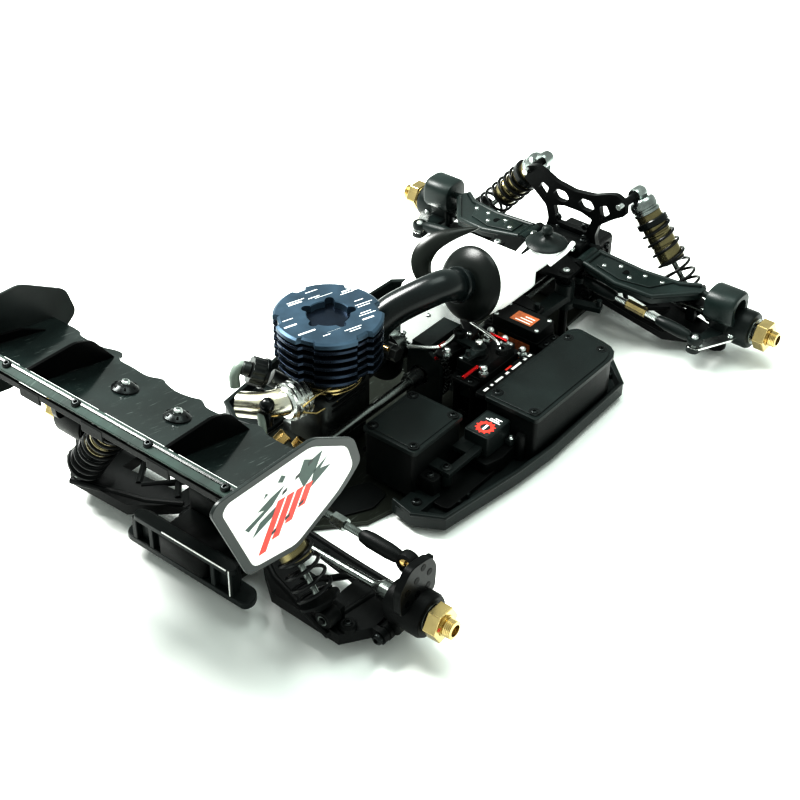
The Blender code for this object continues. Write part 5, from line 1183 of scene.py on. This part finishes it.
def towers():
    for node, x_out in (("front_shock_tower", -1), ("rear_shock_tower", 1)):
        box = Box(node)
        front = node.startswith("front")
        end = "front" if front else "rear"
        plate_x = TOWER_FACE_X[end]
        if front:
            front_tower(box, plate_x)
        else:
            refined(node, BLACK_METAL, 0.5)
        bolts = Part(f"{node}_screws", BOLT_SILVER)
        for _, side in SIDES:
            y = side * TOWER_BOLT_Y[end]
            bolts.hexagon((plate_x + x_out * 0.2, y, box.z1 - 5), (plate_x + x_out * 3.4, y, box.z1 - 5),
                          7.5)
            bolts.rod((plate_x, y, box.z1 - 5), (plate_x + x_out * 4.6, y, box.z1 - 5), 2.0, 16)
        bolts.done(bevel=0.25)
        small = Part(f"{node}_small_screws", BOLT)
        for _, side in SIDES:
            for y, z in ((10, box.z0 + 5), (10, box.z0 + 13)):
                small.screw((plate_x, side * y, z), (x_out, 0, 0), 2.3)
        small.done()


# ---------------------------------------------------------------- suspension

def lean(outline, height, low, high, part):
    """A flat plate that follows the slope of an arm, whose height over the ground is height(y)."""
    rings = [[Vector((x, y, height(y) + level)) for x, y in outline] for level in (low, high)]
    part.loft(rings)


def arms():
    for name, side in SIDES:
        def upper(y):
            return 45 - 10 * (abs(y) - 22) / 84

        def lower(y):
            return 18 - 10 * (abs(y) - 22) / 84

        def rear(y):
            return 17 - 4 * (abs(y) - 22) / 88

        body = f"front_upper_arm_{name}"
        refined(body, ARM, 0.7)
        trim = Part(f"{body}_ridges", ARM, body)
        front_edge = [(143, 25), (145.5, 56), (152, 79), (160.5, 89.5)]
        back_edge = [(126, 25), (122.5, 50), (127.5, 73), (152, 91.5)]
        for line in (front_edge, back_edge):
            trim.tube([(x, side * y, upper(y) + 2.3) for x, y in line], 1.8, 12)
        trim.tube([(126, side * 26, upper(26) + 2.2), (142, side * 26, upper(26) + 2.2)], 1.6, 12)
        trim.done()
        insert = Part(f"{body}_insert", ARM, body)
        lean([(129, side * 32), (141, side * 32), (144, side * 56), (150, side * 76), (134, side * 68),
              (127, side * 50)],
             upper, 2.0, 3.3, insert)
        insert.done(bevel=0.4)
        bolts = Part(f"{body}_screws", BOLT_SILVER, body)
        for x, y in ((132, 36), (139, 44), (133, 54), (142, 60), (144, 71)):
            bolts.screw((x, side * y, upper(y) + 3.1), UP, 1.6)
        bolts.done()
        # Painted shade: a thin near-black disc on the arm's top stands for the dark inside of a hole.
        hole = Part(f"{body}_hole", FIN, body)
        hole.rod((136, side * 49, upper(49) + 3.2), (136, side * 49, upper(49) + 3.42), 2.5, 24)
        hole.done()

        body = f"front_lower_arm_{name}"
        refined(body, NYLON, 0.7)
        ribs = Part(f"{body}_ribs", NYLON, body)
        for line in ([(141, 26), (137, 60), (137, 79)], [(168, 26), (166, 70), (163, 92)],
                     [(143, 30), (164, 48)],
                     [(166, 30), (142, 50)], [(141, 52), (160, 70)]):
            ribs.tube([(x, side * y, lower(y) + 2.6) for x, y in line], 1.6, 10)
        ribs.done()
        bone(f"front_axle_{name}", body, (154, side * DRIVE_CUP_Y, DRIVE_CUP_Z),
             (FRONT_HUB_X, side * (KINGPIN[1] - 3), FRONT_HUB_Z))

        body = f"rear_lower_arm_{name}"
        refined(body, NYLON, 0.8)
        ribs = Part(f"{body}_ribs", NYLON, body)
        for line in ([(-174, 28), (-184, 46), (-196, 92)], [(-148, 28), (-149, 70), (-149, 98)],
                     [(-172, 34), (-152, 54)], [(-152, 34), (-176, 58)], [(-176, 60), (-152, 78)],
                     [(-180, 88), (-150, 92)]):
            ribs.tube([(x, side * y, rear(y) + 2.8) for x, y in line], 1.9, 10)
        ribs.turned([(4.6, 1.0), (4.6, 5.2), (3.6, 6)], (-186, side * 96, rear(96)), UP, 24)
        ribs.done()
        bolts = Part(f"{body}_screws", BOLT, body)
        bolts.screw((-186, side * 96, rear(96) + 5.9), UP, 2.4)
        bolts.screw((-158, side * 98, rear(98) + 3.6), UP, 2.0)
        for end in (-1, 1):
            bolts.screw((-163 + end * 17, side * 110, 13), (end, 0, 0), 3.0)
        bolts.done()
        bone(f"rear_axle_{name}", body, (-161, side * DRIVE_CUP_Y, DRIVE_CUP_Z),
             (REAR_HUB[0], side * (REAR_HUB[1] - 5), REAR_HUB[2]))


def bone(name, body, start, end):
    """A drive shaft: its inner ball stays in the gearbox cup, and past the neck it follows the lower arm."""
    start, end = Vector(start), Vector(end)
    along = (end - start).normalized()
    shaft = Part(name, STEEL, None)
    shaft.ball(start, 4.2, 20)
    shaft.rod(start - Vector((5.6, 0, 0)), start + Vector((5.6, 0, 0)), 1.2, 12)
    length = (end - start).length
    shaft.turned([(3.0, 3), (2.8, 5), (2.6, 7), (2.4, 9), (2.3, 11), (2.3, 13), (2.3, length - 12),
                  (3.4, length - 9), (5.4, length - 6), (5.4, length - 0.5)], start, along, 24)
    made = shaft.done()
    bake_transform(made, "chassis", body, (start + along * 3) * MM, (start + along * 13) * MM)


def front_knuckles():
    for name, side in SIDES:
        body = f"front_knuckle_{name}"
        kx, ky = KINGPIN[0], side * KINGPIN[1]
        z_up, z_low, hub_x, hub_z = 35.0, 8.0, FRONT_HUB_X, FRONT_HUB_Z
        steps = 64
        drum = Part(f"{body}_look", ARM, body)

        def outer(angle, wide=11.2, tall=10.6, power=3.0):
            c, s = math.cos(angle), math.sin(angle)
            reach = (abs(c / wide) ** power + abs(s / tall) ** power) ** (-1 / power)
            return reach * c, reach * s

        def ring(scale, y, radius=None):
            points = []
            for k in range(steps):
                angle = TAU * k / steps
                x, z = outer(angle) if radius is None else (radius * math.cos(angle),
                                                            radius * math.sin(angle))
                points.append(Vector((kx + x * scale, ky + side * y, z_up + z * scale)))
            return points

        drum.loft([ring(0.80, -7.4), ring(0.93, -6.8), ring(1.0, -5.2), ring(1.0, 10.4), ring(0.94, 12.2),
                   ring(0.9, 12.6),
                   ring(1, 12.6, 6.9), ring(1, 12.2, 6.5), ring(1, 4.5, 6.4), ring(1, 4.0, 2.0)])
        drum.done(replaces=(body,), smooth=40)
        web = Part(f"{body}_web", NYLON_GREY, body)
        web.box(kx - 6.5, kx + 7, *sorted((ky - side * 4.4, ky + side * 10)), z_low + 5.2, z_up - 6, 2.5)
        web.turned([(9.8, 7.6), (11.4, 8.6), (11.9, 12), (11.9, 20), (11.0, 21.6), (8.2, 22.2), (8.2, 20)],
                   (hub_x, ky, hub_z), (0, side, 0), 44)
        web.turned([(4.6, 4.6), (5.2, 5.4), (5.2, 12)], (kx, ky, z_low), UP, 28)
        web.slab(rounded([(kx + 3, ky + side * 8), (kx - 34, ky + side * 4), (kx - 35.5, ky),
                          (kx - 34, ky - side * 4),
                          (kx - 2, ky - side * 3)], [1, 3, 3, 3, 1]), 16.2, 19.2)
        web.done(bevel=0.6)
        race = Part(f"{body}_bearing", STEEL, body)
        race.ring([(5.6, 21.0), (8.4, 21.0), (8.4, 22.6), (5.6, 22.6)], (hub_x, ky, hub_z), (0, side, 0),
                  36)
        race.done(bevel=0.2)
        arm = Part(f"{body}_steering_arm", SILVER, body)
        arm.slab(rounded([(kx - 34, ky - side * 3.2), (kx - 34, ky + side * 3.2), (kx - 10, ky + side * 15),
                          (kx - 2, ky + side * 15.5), (kx - 2, ky + side * 9.5), (kx - 8, ky + side * 8),
                          (kx - 27, ky - side * 2.6)], 1.6), 18.0, 19.4)
        arm.done(bevel=0.25)
        bolts = Part(f"{body}_screws", BOLT_SILVER, body)
        bolts.screw((kx - 6, ky + side * 12, 19.3), UP, 2.2)
        bolts.screw((kx - 27, ky + side * 2.5, 19.3), UP, 1.7)
        bolts.ball((kx - 30, ky, 24.0), 3.0, 20)
        bolts.rod((kx - 30, ky, 19), (kx - 30, ky, 26.6), 1.7, 16)
        bolts.done()


def rear_hubs():
    for name, side in SIDES:
        body = f"rear_hub_carrier_{name}"
        x, y, z = REAR_HUB[0], side * REAR_HUB[1], REAR_HUB[2]
        refined(body, NYLON, 0.6)
        hub = Part(f"{body}_boss", NYLON, body)
        hub.turned([(9.8, -3), (11.6, -2), (12.0, 2), (12.0, 17.5), (11.0, 19.3), (8.0, 19.4), (8.0, 18)],
                   (x, y, z), (0, side, 0), 44)
        hub.done(smooth=40)
        race = Part(f"{body}_bearing", STEEL, body)
        race.ring([(5.6, 17.5), (8.0, 17.5), (8.0, 19.8), (5.6, 19.8)], (x, y, z), (0, side, 0), 36)
        race.done(bevel=0.2)
        plate = Part(f"{body}_link_plate", BLACK_METAL, body)
        low, high = sorted((y + side * 8.6, y + side * 13.0))
        plate.slab(rounded([(x - 16, 34), (x + 11, 34), (x + 12, 50), (x + 7, 58), (x - 8, 60),
                            (x - 17, 50)], 4),
                   low, high, "y")
        plate.done(bevel=0.5)
        # Painted shade: thin near-black discs on both faces of the plate stand for the dark insides of its holes.
        hole_shades = Part(f"{body}_link_hole_shades", FIN, body)
        for dx, dz in ((-11, 40), (-11, 47), (-3, 41), (-4, 50), (5, 41), (6, 49), (1, 55)):
            for face in (8.45, 13.05):
                hole_shades.rod((x + dx, y + side * face, dz), (x + dx, y + side * (face + 0.1), dz), 1.9, 18)
        hole_shades.done()
        ball = Part(f"{body}_ball", BRASS, body)
        ball.ball((x + 1, side * 111.6, 53), 3.2, 20)
        ball.hexagon((x + 1, side * 115, 53), (x + 1, side * 118, 53), 6)
        ball.done()


def rear_links():
    for name, side in SIDES:
        body = f"rear_upper_link_{name}"
        x, y, z = REAR_LINK_INNER
        inner, outer = Vector((x, side * y, z)), Vector((x, side * 114, z - 4))
        along = (outer - inner).normalized()
        link = Part(f"{body}_rod", STEEL, body)
        link.thread(inner + along * 22, along, 2.1, 44)
        link.hexagon(inner + along * 41, inner + along * 49, 6.4)
        link.done(replaces=(body,))
        ends = Part(f"{body}_ends", NYLON, body)
        for start, way in ((inner, along), (outer, -along)):
            ends.turned([(2.6, 4), (3.6, 7), (4.1, 12), (4.1, 23), (3.4, 28), (2.8, 29)], start, way, 28)
            ends.ring([(4.0, -3.0), (6.0, -2.6), (6.4, 0), (6.0, 2.6), (4.0, 3.0), (4.9, 0)], start,
                      (1, 0, 0), 32)
        ends.done()
    studs = Part("rear_link_balls", BRASS)
    x, y, z = REAR_LINK_INNER
    for _, side in SIDES:
        studs.ball((x, side * y, z), 3.8, 24)
        studs.rod((x, side * (y - 8), z), (x, side * (y - 2), z), 1.8, 16)
        studs.hexagon((x, side * (y - 7.5), z), (x, side * (y - 5), z), 6)
    studs.done()


def hexes():
    for corner in ("front", "rear"):
        for name, side in SIDES:
            body = f"{corner}_wheel_hex_{name}"
            box = Box(body)
            x, z = box.cx, box.cz
            face = WHEEL_FACE_Y
            drive = Part(f"{body}_look", GOLD, body)
            drive.hexagon((x, side * (face - 7.6), z), (x, side * (face - 0.2), z), WHEEL_HEX_FLATS)
            drive.turned([(7.6, face - 8.3), (8.0, face - 7.4)], (x, 0, z), (0, side, 0), 40)
            drive.done(bevel=0.5, replaces=(body,))
            stub = Part(f"{body}_stub", GOLD, body)
            thread = [point for k in range(5) for point in ((4.55, face + 0.6 + k), (5.0, face + 1.1 + k))]
            stub.turned([(5.6, face - 0.6), (5.6, face + 0.4), *thread, (3.2, face + 5.4), (3.2, face + 1)],
                        (x, 0, z), (0, side, 0), 36)
            stub.done(smooth=24)
            pin = Part(f"{body}_pin", STEEL, body)
            pin.rod((x - 8.6, side * (face - 4), z), (x + 8.6, side * (face - 4), z), 1.4, 16)
            pin.turned([(4.9, face - 21), (4.9, face - 8)], (x, 0, z), (0, side, 0), 28)
            pin.done()
            if corner == "rear":
                dot = Part(f"{body}_mark", RED, body)
                dot.rod((x - 5.8, side * (face - 0.25), z + 1.5), (x - 5.8, side * (face - 0.05), z + 1.5),
                        1.0, 16)
                dot.done()


def shocks():
    for corner in ("front", "rear"):
        for name, _ in SIDES:
            body, shaft = f"{corner}_shock_body_{name}", f"{corner}_shock_shaft_{name}"
            stroke = JOINTS[f"{corner}_shock_{name}_stroke"]
            top = joint_point(f"{corner}_shock_{name}_swing")
            along = Vector(stroke["axis"])
            length = (top.z - Box(shaft).z0 - 5.4) / -along.z

            def at(distance):
                return top + along * distance

            cap = Part(f"{body}_cap", CAP_METAL if corner == "front" else BLACK_METAL, body)
            cap.turned([(4.0, 3.2), (7.2, 3.6), (8.4, 5), (8.6, 6.5), (8.6, 9.5), (7.9, 10), (7.9, 11),
                        (8.6, 11.5), (8.6, 13.2)],
                       top, along, 44)
            cap.ring([(2.0, -4.4), (4.3, -4.4), (4.9, -3.2), (4.9, 3.2), (4.3, 4.4), (2.0, 4.4)], top,
                     (1, 0, 0), 32)
            cap.done(replaces=(body,), smooth=38)
            barrel = Part(f"{body}_barrel", SHOCK_GOLD, body)
            wide, neck = BARREL_R, BARREL_NECK_R
            barrel.turned([(7.4, 13), (wide, 13.6), (wide, 26.5), (neck, 27), (neck, 28), (wide, 28.5),
                           (wide, 35),
                           (neck, 35.5), (neck, 36.5), (wide, 37), (wide, 46), (7.0, 47), (3, 47)], top,
                           along, 44)
            barrel.done(smooth=30)
            rings = Part(f"{body}_collar", GLOSS, body)
            rings.ring([(7.2, 17.4), (9.6, 17.4), (10.2, 18.0), (10.2, 21.2), (9.6, 21.8), (7.2, 21.8)],
                       top, along, 44)
            rings.ring([(7.2, 24.5), (8.2, 24.7), (8.2, 25.7), (7.2, 25.9)], top, along, 36)
            rings.ring([(2.2, 45.6), (7.9, 45.6), (8.1, 46.2), (8.1, 47.4), (7.2, 48), (2.2, 48)], top,
                       along, 40)
            rings.done(smooth=38)
            rod = Part(f"{shaft}_rod", STEEL, shaft)
            rod.rod(at(39), at(length - 4), 1.7, 20)
            rod.done(replaces=(shaft,))
            foot = Part(f"{shaft}_foot", NYLON, shaft)
            foot.turned([(2.4, length - 12), (8.2, length - 10.6), (10.6, length - 9.9),
                         (10.7, length - 8.6), (8, length - 8),
                         (4.6, length - 5)], top, along, 40)
            foot.ring([(2.7, -4.4), (4.6, -4.4), (5.3, -3), (5.3, 3), (4.6, 4.4), (2.7, 4.4)], at(length),
                      (1, 0, 0), 32)
            foot.done(smooth=38)
            ball = Part(f"{shaft}_ball", STEEL, shaft)
            ball.ring([(1.9, -4.8), (2.8, -4.8), (2.8, 4.8), (1.9, 4.8)], at(length), (1, 0, 0), 20)
            ball.done()
            node = f"{corner}_shock_spring_{name}"
            start, end = 22.6, length - 10.9
            per_turn = 24
            across = Vector((1, 0, 0))
            other = along.cross(across)
            path = []
            count = COIL_TURNS * per_turn
            for k in range(count + 1):
                share = k / count
                eased = share - 0.022 * math.sin(TAU * share)
                angle = TAU * k / per_turn
                path.append(at(start + (end - start) * eased)
                            + (across * math.cos(angle) + other * math.sin(angle)) * COIL_R)
            coil = Part(f"{node}_coil", SPRING, body)
            coil.tube(path, COIL_WIRE_R, 10)
            made = coil.done(replaces=(node,))
            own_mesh(made)


# ---------------------------------------------------------------- steering and servos

def servo(name, low, high, floor, top, along, horn, label):
    """A servo: a case with an ear at each end, a lid with four screws, and a label on its side."""
    x0, y0 = low
    x1, y1 = high
    case = Part(name, NYLON)
    case.slab(rounded([(x0, y0), (x1, y0), (x1, y1), (x0, y1)], 1.4), floor, floor + 8)
    case.slab(rounded([(x0, y0), (x1, y0), (x1, y1), (x0, y1)], 1.4), floor + 8.5, top - 7.0)
    case.slab(rounded([(x0 + 0.3, y0 + 0.3), (x1 - 0.3, y0 + 0.3), (x1 - 0.3, y1 - 0.3),
                       (x0 + 0.3, y1 - 0.3)], 1.8),
              top - 7.2, top)
    case.slab([(x0 + 1, y0 + 1), (x1 - 1, y0 + 1), (x1 - 1, y1 - 1), (x0 + 1, y1 - 1)], floor + 7, top - 1)
    ear = top - 11
    if along == "x":
        case.slab(rounded([(x0 - 6, y0 + 1), (x1 + 6, y0 + 1), (x1 + 6, y1 - 1), (x0 - 6, y1 - 1)], 2),
                  ear, ear + 2.4)
        case.turned([(5.4, top - 0.5), (5.0, top + 1.4)], (horn[0], horn[1], 0), UP, 28)
    else:
        case.slab(rounded([(x0 + 1, y0 - 6), (x1 - 1, y0 - 6), (x1 - 1, y1 + 6), (x0 + 1, y1 + 6)], 2),
                  ear, ear + 2.4)
    case.done(bevel=0.35, replaces=(name,), merge=False)
    bolts = Part(f"{name}_screws", BOLT_SILVER)
    for x in (x0 + 2.6, x1 - 2.6):
        for y in (y0 + 2.6, y1 - 2.6):
            bolts.screw((x, y, top - 0.1), UP, 1.5)
    bolts.done()
    ears = Part(f"{name}_ear_screws", BOLT)
    middle = ((x0 + x1) / 2, (y0 + y1) / 2)
    spots = ((x0 - 3, middle[1] - 4), (x0 - 3, middle[1] + 4), (x1 + 3, middle[1] - 4),
             (x1 + 3, middle[1] + 4))
    if along == "y":
        spots = ((middle[0] - 4, y0 - 3), (middle[0] + 4, y0 - 3), (middle[0] - 4, y1 + 3),
                 (middle[0] + 4, y1 + 3))
    for x, y in spots:
        ears.screw((x, y, ear + 2.3), UP, 2.0)
    ears.done()
    sticker = Part(f"{name}_label", label)
    if along == "y":
        sticker.box(x0 - 0.12, x0 + 0.1, y0 + 5, y1 - 6, floor + 11, top - 10)
    else:
        sticker.box(x0 + 3, x0 + 16, y0 - 0.12, y0 + 0.1, floor + 11, top - 12)
        sticker.box(x0 - 0.12, x0 + 0.1, y0 + 3, y1 - 4, floor + 11, top - 12)
    sticker.done(merge=False)


def servos():
    steer, throttle = Box("steering_servo"), Box("throttle_servo")
    servo("steering_servo", (steer.cx - 9.4, steer.cy - 17), (steer.cx + 9.4, steer.cy + 17), 7.0, 43.0,
          "y",
          (steer.cx, steer.cy), ORANGE)
    servo("throttle_servo", (throttle.cx - 17, throttle.cy - 9.4), (throttle.cx + 17, throttle.cy + 9.4),
          11.0, 45.5,
          "x", (4.5, -33), GRAPHITE)
    posts = Part("servo_posts", BLACK_METAL)
    for x in (throttle.cx - 20, throttle.cx + 20):
        for y in (throttle.cy - 6, throttle.cy + 6):
            posts.turned([(2.6, 3), (2.6, 6), (1.9, 8), (1.9, 30), (2.6, 32), (2.6, 34.4)], (x, y, 0), UP,
                         20)
    posts.done()
    feet = Part("steering_servo_posts", NYLON)
    for y in (steer.cy - 20, steer.cy + 20):
        feet.box(steer.cx - 7, steer.cx + 7, y - 3, y + 3, 3, 31.8, 1.5)
    feet.done(bevel=0.4)
    label = Part("steering_servo_top_label", ORANGE)
    label.box(steer.cx - 5.5, steer.cx + 4.5, steer.cy - 9, steer.cy + 6, 42.9, 43.1)
    label.done()
    bands = Part("steering_servo_label_bands", WHITE)
    for k in range(3):
        bands.box(steer.cx - 4.2 + 2.6 * k, steer.cx - 3.3 + 2.6 * k, steer.cy - 7.5, steer.cy + 3 - 2 * k,
                  43.08, 43.2)
    bands.done(merge=False)
    dots = Part("steering_servo_red_studs", RED_METAL)
    for y in (steer.cy - 12, steer.cy + 1):
        dots.rod((steer.cx - 10.6, y, 16), (steer.cx - 9.3, y, 16), 2.0, 16)
    dots.done(bevel=0.2)

    # The throttle servo's horn, and the rods, balls, levers and switch shelf round it.
    refined("throttle_horn", NYLON_GREY, 0.4)
    hub = joint_point("throttle_servo_turn")
    hornbits = Part("throttle_horn_links", SILVER, "throttle_horn")
    hornbits.screw((hub.x, hub.y, Box("throttle_horn").z1 - 0.2), UP, 2.2)
    hornbits.done()
    rods = Part("throttle_linkage", SILVER)
    tip = Vector((hub.x + 1, hub.y + 15, 53))
    rods.tube(smooth_path([tip + Vector((0, 1.5, 1)), tip + Vector((-16, 2, 0)), (-19, 0.5, 50.5)], 6),
              1.0, 12)
    rods.tube(smooth_path([(hub.x + 3, hub.y - 13, 53), (hub.x + 8, hub.y - 6, 55), (24, -14, 50),
                           (31, -9, 44)], 6), 1.0, 12)
    rods.done()
    red = Part("throttle_linkage_collars", RED_METAL)
    for start, end in (((-5, -16.2, 53), (-11, -16.0, 53)), ((-6, -40, 47.6), (-20, -40, 47.6)),
                       ((22, -40, 50), (22, -28, 50))):
        red.rod(start, end, 1.15, 16)
    red.done(bevel=0.2)
    balls = Part("throttle_linkage_balls", BOLT_SILVER)
    for point in ((hub.x - 14, hub.y + 12, 52), (hub.x + 14, hub.y + 4, 50.5), (hub.x + 20, hub.y - 4, 49),
                  (hub.x + 24, hub.y + 9, 47), (hub.x - 10, hub.y - 11, 47.5),
                  (hub.x + 27, hub.y - 12, 41)):
        balls.ball(point, 2.3, 18)
        balls.rod(Vector(point) - Vector((0, 0, 4)), Vector(point) + Vector(UP), 1.2, 12)
        balls.hexagon(Vector(point) - Vector((0, 0, 4)), Vector(point) - Vector((0, 0, 2.4)), 5)
    balls.done()
    arms = Part("throttle_linkage_plates", BLACK_METAL)
    arms.slab(rounded([(-12, -20), (4, -23), (18, -18), (20, -12), (2, -15), (-12, -13)], 3), 46.2, 48.0)
    arms.slab(rounded([(12, -20), (30, -16), (36, -4), (30, 0), (22, -10)], 3), 43.0, 45.0)
    arms.slab(rounded([(-8, -12), (10, -13), (14, -4), (0, 2), (-10, -2)], 3), 42.4, 44.0)
    arms.done(bevel=0.35, merge=False)
    shelf = Part("switch_shelf", NYLON)
    shelf.slab(rounded([(-14, -50.8), (38, -50.8), (38, -44.5), (-14, -44.5)], 1.5), 33.5, 36.5)
    shelf.done(bevel=0.4)
    dashes = Part("switch_shelf_dashes", WHITE)
    for x, length in ((-10, 4), (-3.5, 2), (1, 7), (11, 3), (17, 9), (29, 2.5), (33.5, 3)):
        dashes.box(x, x + length, -48.8, -47.2, 36.4, 36.6)
    dashes.done(merge=False)
    tile = Part("switch_shelf_tile", RED)
    tile.box(14, 20, -46.4, -45.0, 36.4, 36.6)
    tile.done()
    eyes = Part("throttle_linkage_eyes", NYLON)
    for point in ((hub.x + 2, hub.y + 15.5, 53.8), (hub.x + 4, hub.y - 13, 53.8)):
        eyes.ring([(1.6, -1.8), (3.6, -1.8), (3.6, 1.8), (1.6, 1.8)], point, UP, 24)
    eyes.done(bevel=0.3)


def steering():
    for node, shade in (("servo_saver_crank", NYLON_GREY), ("idler_crank", NYLON_GREY),
                        ("steering_plate", BLACK_METAL),
                        ("steering_top_plate", BLACK_METAL)):
        refined(node, shade, 0.35)
    plate = Box("steering_top_plate")
    bolts = Part("front_top_plate_screws", BOLT_SILVER)
    for x, y in ((104, 26), (104, -26), (plate.x1 - 6, 14), (plate.x1 - 6, -14), (120, 10), (120, -10)):
        if plate.x0 < x < plate.x1:
            bolts.screw((x, y, plate.z1 - 0.1), UP, 2.5)
    bolts.done()
    washers = Part("front_top_plate_washers", BLACK_METAL)
    for y in (26, -26):
        washers.ring([(2.6, plate.z1), (4.8, plate.z1), (4.4, plate.z1 + 0.7), (2.6, plate.z1 + 0.7)],
                     (104, y, 0),
                     UP, 28)
    washers.done()
    crank = joint_point("steering_turn")
    body = "servo_saver_crank"
    stack = Part("servo_saver_stack", GOLD, body)
    top = plate.z0 - 0.3
    stack.turned([(6.2, top - 4.2), (7.0, top - 3.6), (7.0, top - 2.6), (6.2, top - 2.2), (6.2, top - 1.4),
                  (7.0, top - 1.0),
                  (7.0, top - 0.3), (6.0, top)], (crank.x, crank.y, 0), UP, 36)
    stack.done()
    cup = Part("servo_saver_cup", NYLON_GREY, body)
    cup.turned([(8.0, top - 8.2), (10.4, top - 7.8), (11.0, top - 6.8), (11.0, top - 4.8),
                (10.2, top - 4.2), (6.0, top - 4.0)],
               (crank.x, crank.y, 0), UP, 40)
    cup.done(smooth=38)
    for name, side in SIDES:
        rod_body = f"tie_rod_{name}"
        inner, outer = (Vector((x, side * y, z)) for x, y, z in (TIE_ROD_INNER, TIE_ROD_OUTER))
        along = (outer - inner).normalized()
        steel = Part(f"{rod_body}_rod", BOLT_SILVER, rod_body)
        steel.thread(inner + along * 18, along, 1.9, (outer - inner).length - 36)
        steel.done(replaces=(rod_body,))
        nut = Part(f"{rod_body}_turnbuckle", GOLD, rod_body)
        mid = (inner + outer) / 2
        nut.hexagon(mid - along * 7, mid + along * 7, 5.6)
        nut.done(bevel=0.4)
        ends = Part(f"{rod_body}_ends", NYLON_GREY, rod_body)
        for start, way in ((inner, along), (outer, -along)):
            ends.turned([(2.6, 3.5), (3.4, 6), (3.9, 11), (3.9, 20), (3.2, 26), (2.6, 27)], start, way, 28)
            ends.ring([(3.3, -2.1), (4.6, -1.9), (5.0, 0), (4.6, 1.9), (3.3, 2.1), (3.9, 0)], start, UP, 32)
        ends.done()


# ---------------------------------------------------------------- centre drive

def centre_drive():
    refined("centre_diff_mount", NYLON_GREY, 0.5)
    refined("centre_diff", STEEL, 0.2)
    mount = Box("centre_diff_mount")
    y, z = CENTRE_SHAFT_Y, CENTRE_SHAFT_Z
    calipers = Part("brake_pads", BLACK_METAL)
    for x in (mount.x0 + 3, mount.x1 - 4.5):
        for lift in (-1, 1):
            calipers.box(x + lift * 1.6 - 0.7, x + lift * 1.6 + 0.7, y - 7, y + 7, z + 9, z + 17.5, 0.6)
    calipers.done(bevel=0.3)
    rods = Part("brake_rods", RED_METAL)
    rods.rod((mount.x0 + 1, y - 9, z + 14), (mount.x0 + 12, y - 9, z + 14), 1.7, 16)
    rods.rod((mount.x1 - 10, y - 9, z + 14), (mount.x1 + 1, y - 9, z + 14), 1.7, 16)
    rods.done(bevel=0.2)
    bolts = Part("centre_mount_screws", BOLT_SILVER)
    for x in (mount.x0 + 3.5, mount.x1 - 3.5):
        for dy in (-15, 15):
            bolts.screw((x, y + dy, mount.z1 - 1.0), UP, 1.6)
    bolts.done()


# ---------------------------------------------------------------- the shot

def studio():
    """A white floor and world, one soft key behind the car, and the photo's viewpoint."""
    sheet = bpy.data.meshes.new("studio_floor")
    sheet.from_pydata([(x * FLOOR_REACH, y * FLOOR_REACH, FLOOR_LEVEL)
                       for x, y in ((-1, -1), (1, -1), (1, 1), (-1, 1))],
                      [], [(0, 1, 2, 3)])
    sheet.materials.append(FLOOR)
    floor = bpy.data.objects.new("studio_floor", sheet)
    bpy.context.scene.collection.objects.link(floor)
    world = bpy.data.worlds.new("studio")
    world.use_nodes = True
    background = next(node for node in world.node_tree.nodes if node.type == "BACKGROUND")
    background.inputs["Color"].default_value = (0.93, 1.0, 0.95, 1)
    background.inputs["Strength"].default_value = 1.0
    bpy.context.scene.world = world

    def softbox(name, place, target, size, watts, colour):
        lamp = bpy.data.lights.new(name, "AREA")
        lamp.energy = watts
        lamp.size = size
        lamp.color = colour
        made = bpy.data.objects.new(name, lamp)
        made.location = place
        made.rotation_euler = (Vector(target) - Vector(place)).to_track_quat("-Z", "Y").to_euler()
        bpy.context.scene.collection.objects.link(made)

    softbox("key", (-0.15, 0.95, 1.15), (0, 0, 0.04), 0.6, 60, (1.0, 1.0, 0.98))
    softbox("top", (0.25, -0.1, 1.6), (0, 0, 0), 0.9, 16, (0.92, 1.0, 0.96))

    yaw, pitch, roll = (math.radians(value) for value in (CAMERA_YAW, CAMERA_PITCH, CAMERA_ROLL))
    look = Vector((math.cos(pitch) * math.cos(yaw), math.cos(pitch) * math.sin(yaw), -math.sin(pitch)))
    right = look.cross(Vector(UP)).normalized()
    up = right.cross(look)
    across = math.cos(roll) * right + math.sin(roll) * up
    above = -math.sin(roll) * right + math.cos(roll) * up
    lens = bpy.data.cameras.new("camera")
    lens.lens = CAMERA_LENS
    lens.sensor_width = CAMERA_SENSOR
    lens.clip_start = 0.05
    camera = bpy.data.objects.new("camera", lens)
    place = Matrix((across, above, -look)).transposed().to_4x4()
    place.translation = Vector(CAMERA_PLACE)
    camera.matrix_world = place
    scene = bpy.context.scene
    scene.collection.objects.link(camera)
    scene.camera = camera
    scene.view_settings.view_transform = "Standard"
    scene.view_settings.gamma = 0.74


SHADE_OF_SLOT = {"black_plastic": NYLON, "satin_plastic": NYLON_GREY, "anodised_olive": PLATE,
                 "anodised_black": BLACK_METAL, "head_blue": HEAD, "aluminium": SILVER, "steel": STEEL,
                 "gold": GOLD, "white_plastic": TANK, "white_sheet": WHITE, "spring_steel": SPRING}

for build in (wing, engine, exhaust, air_filter, fuel_tank, radio, chassis, gearboxes, towers, arms,
              front_knuckles,
              rear_hubs, rear_links, hexes, shocks, servos, steering, centre_drive):
    build()
for node in NODES:
    if node not in REPLACED:
        refined(node, SHADE_OF_SLOT[SLOT_OF[node]], 0.35)
studio()

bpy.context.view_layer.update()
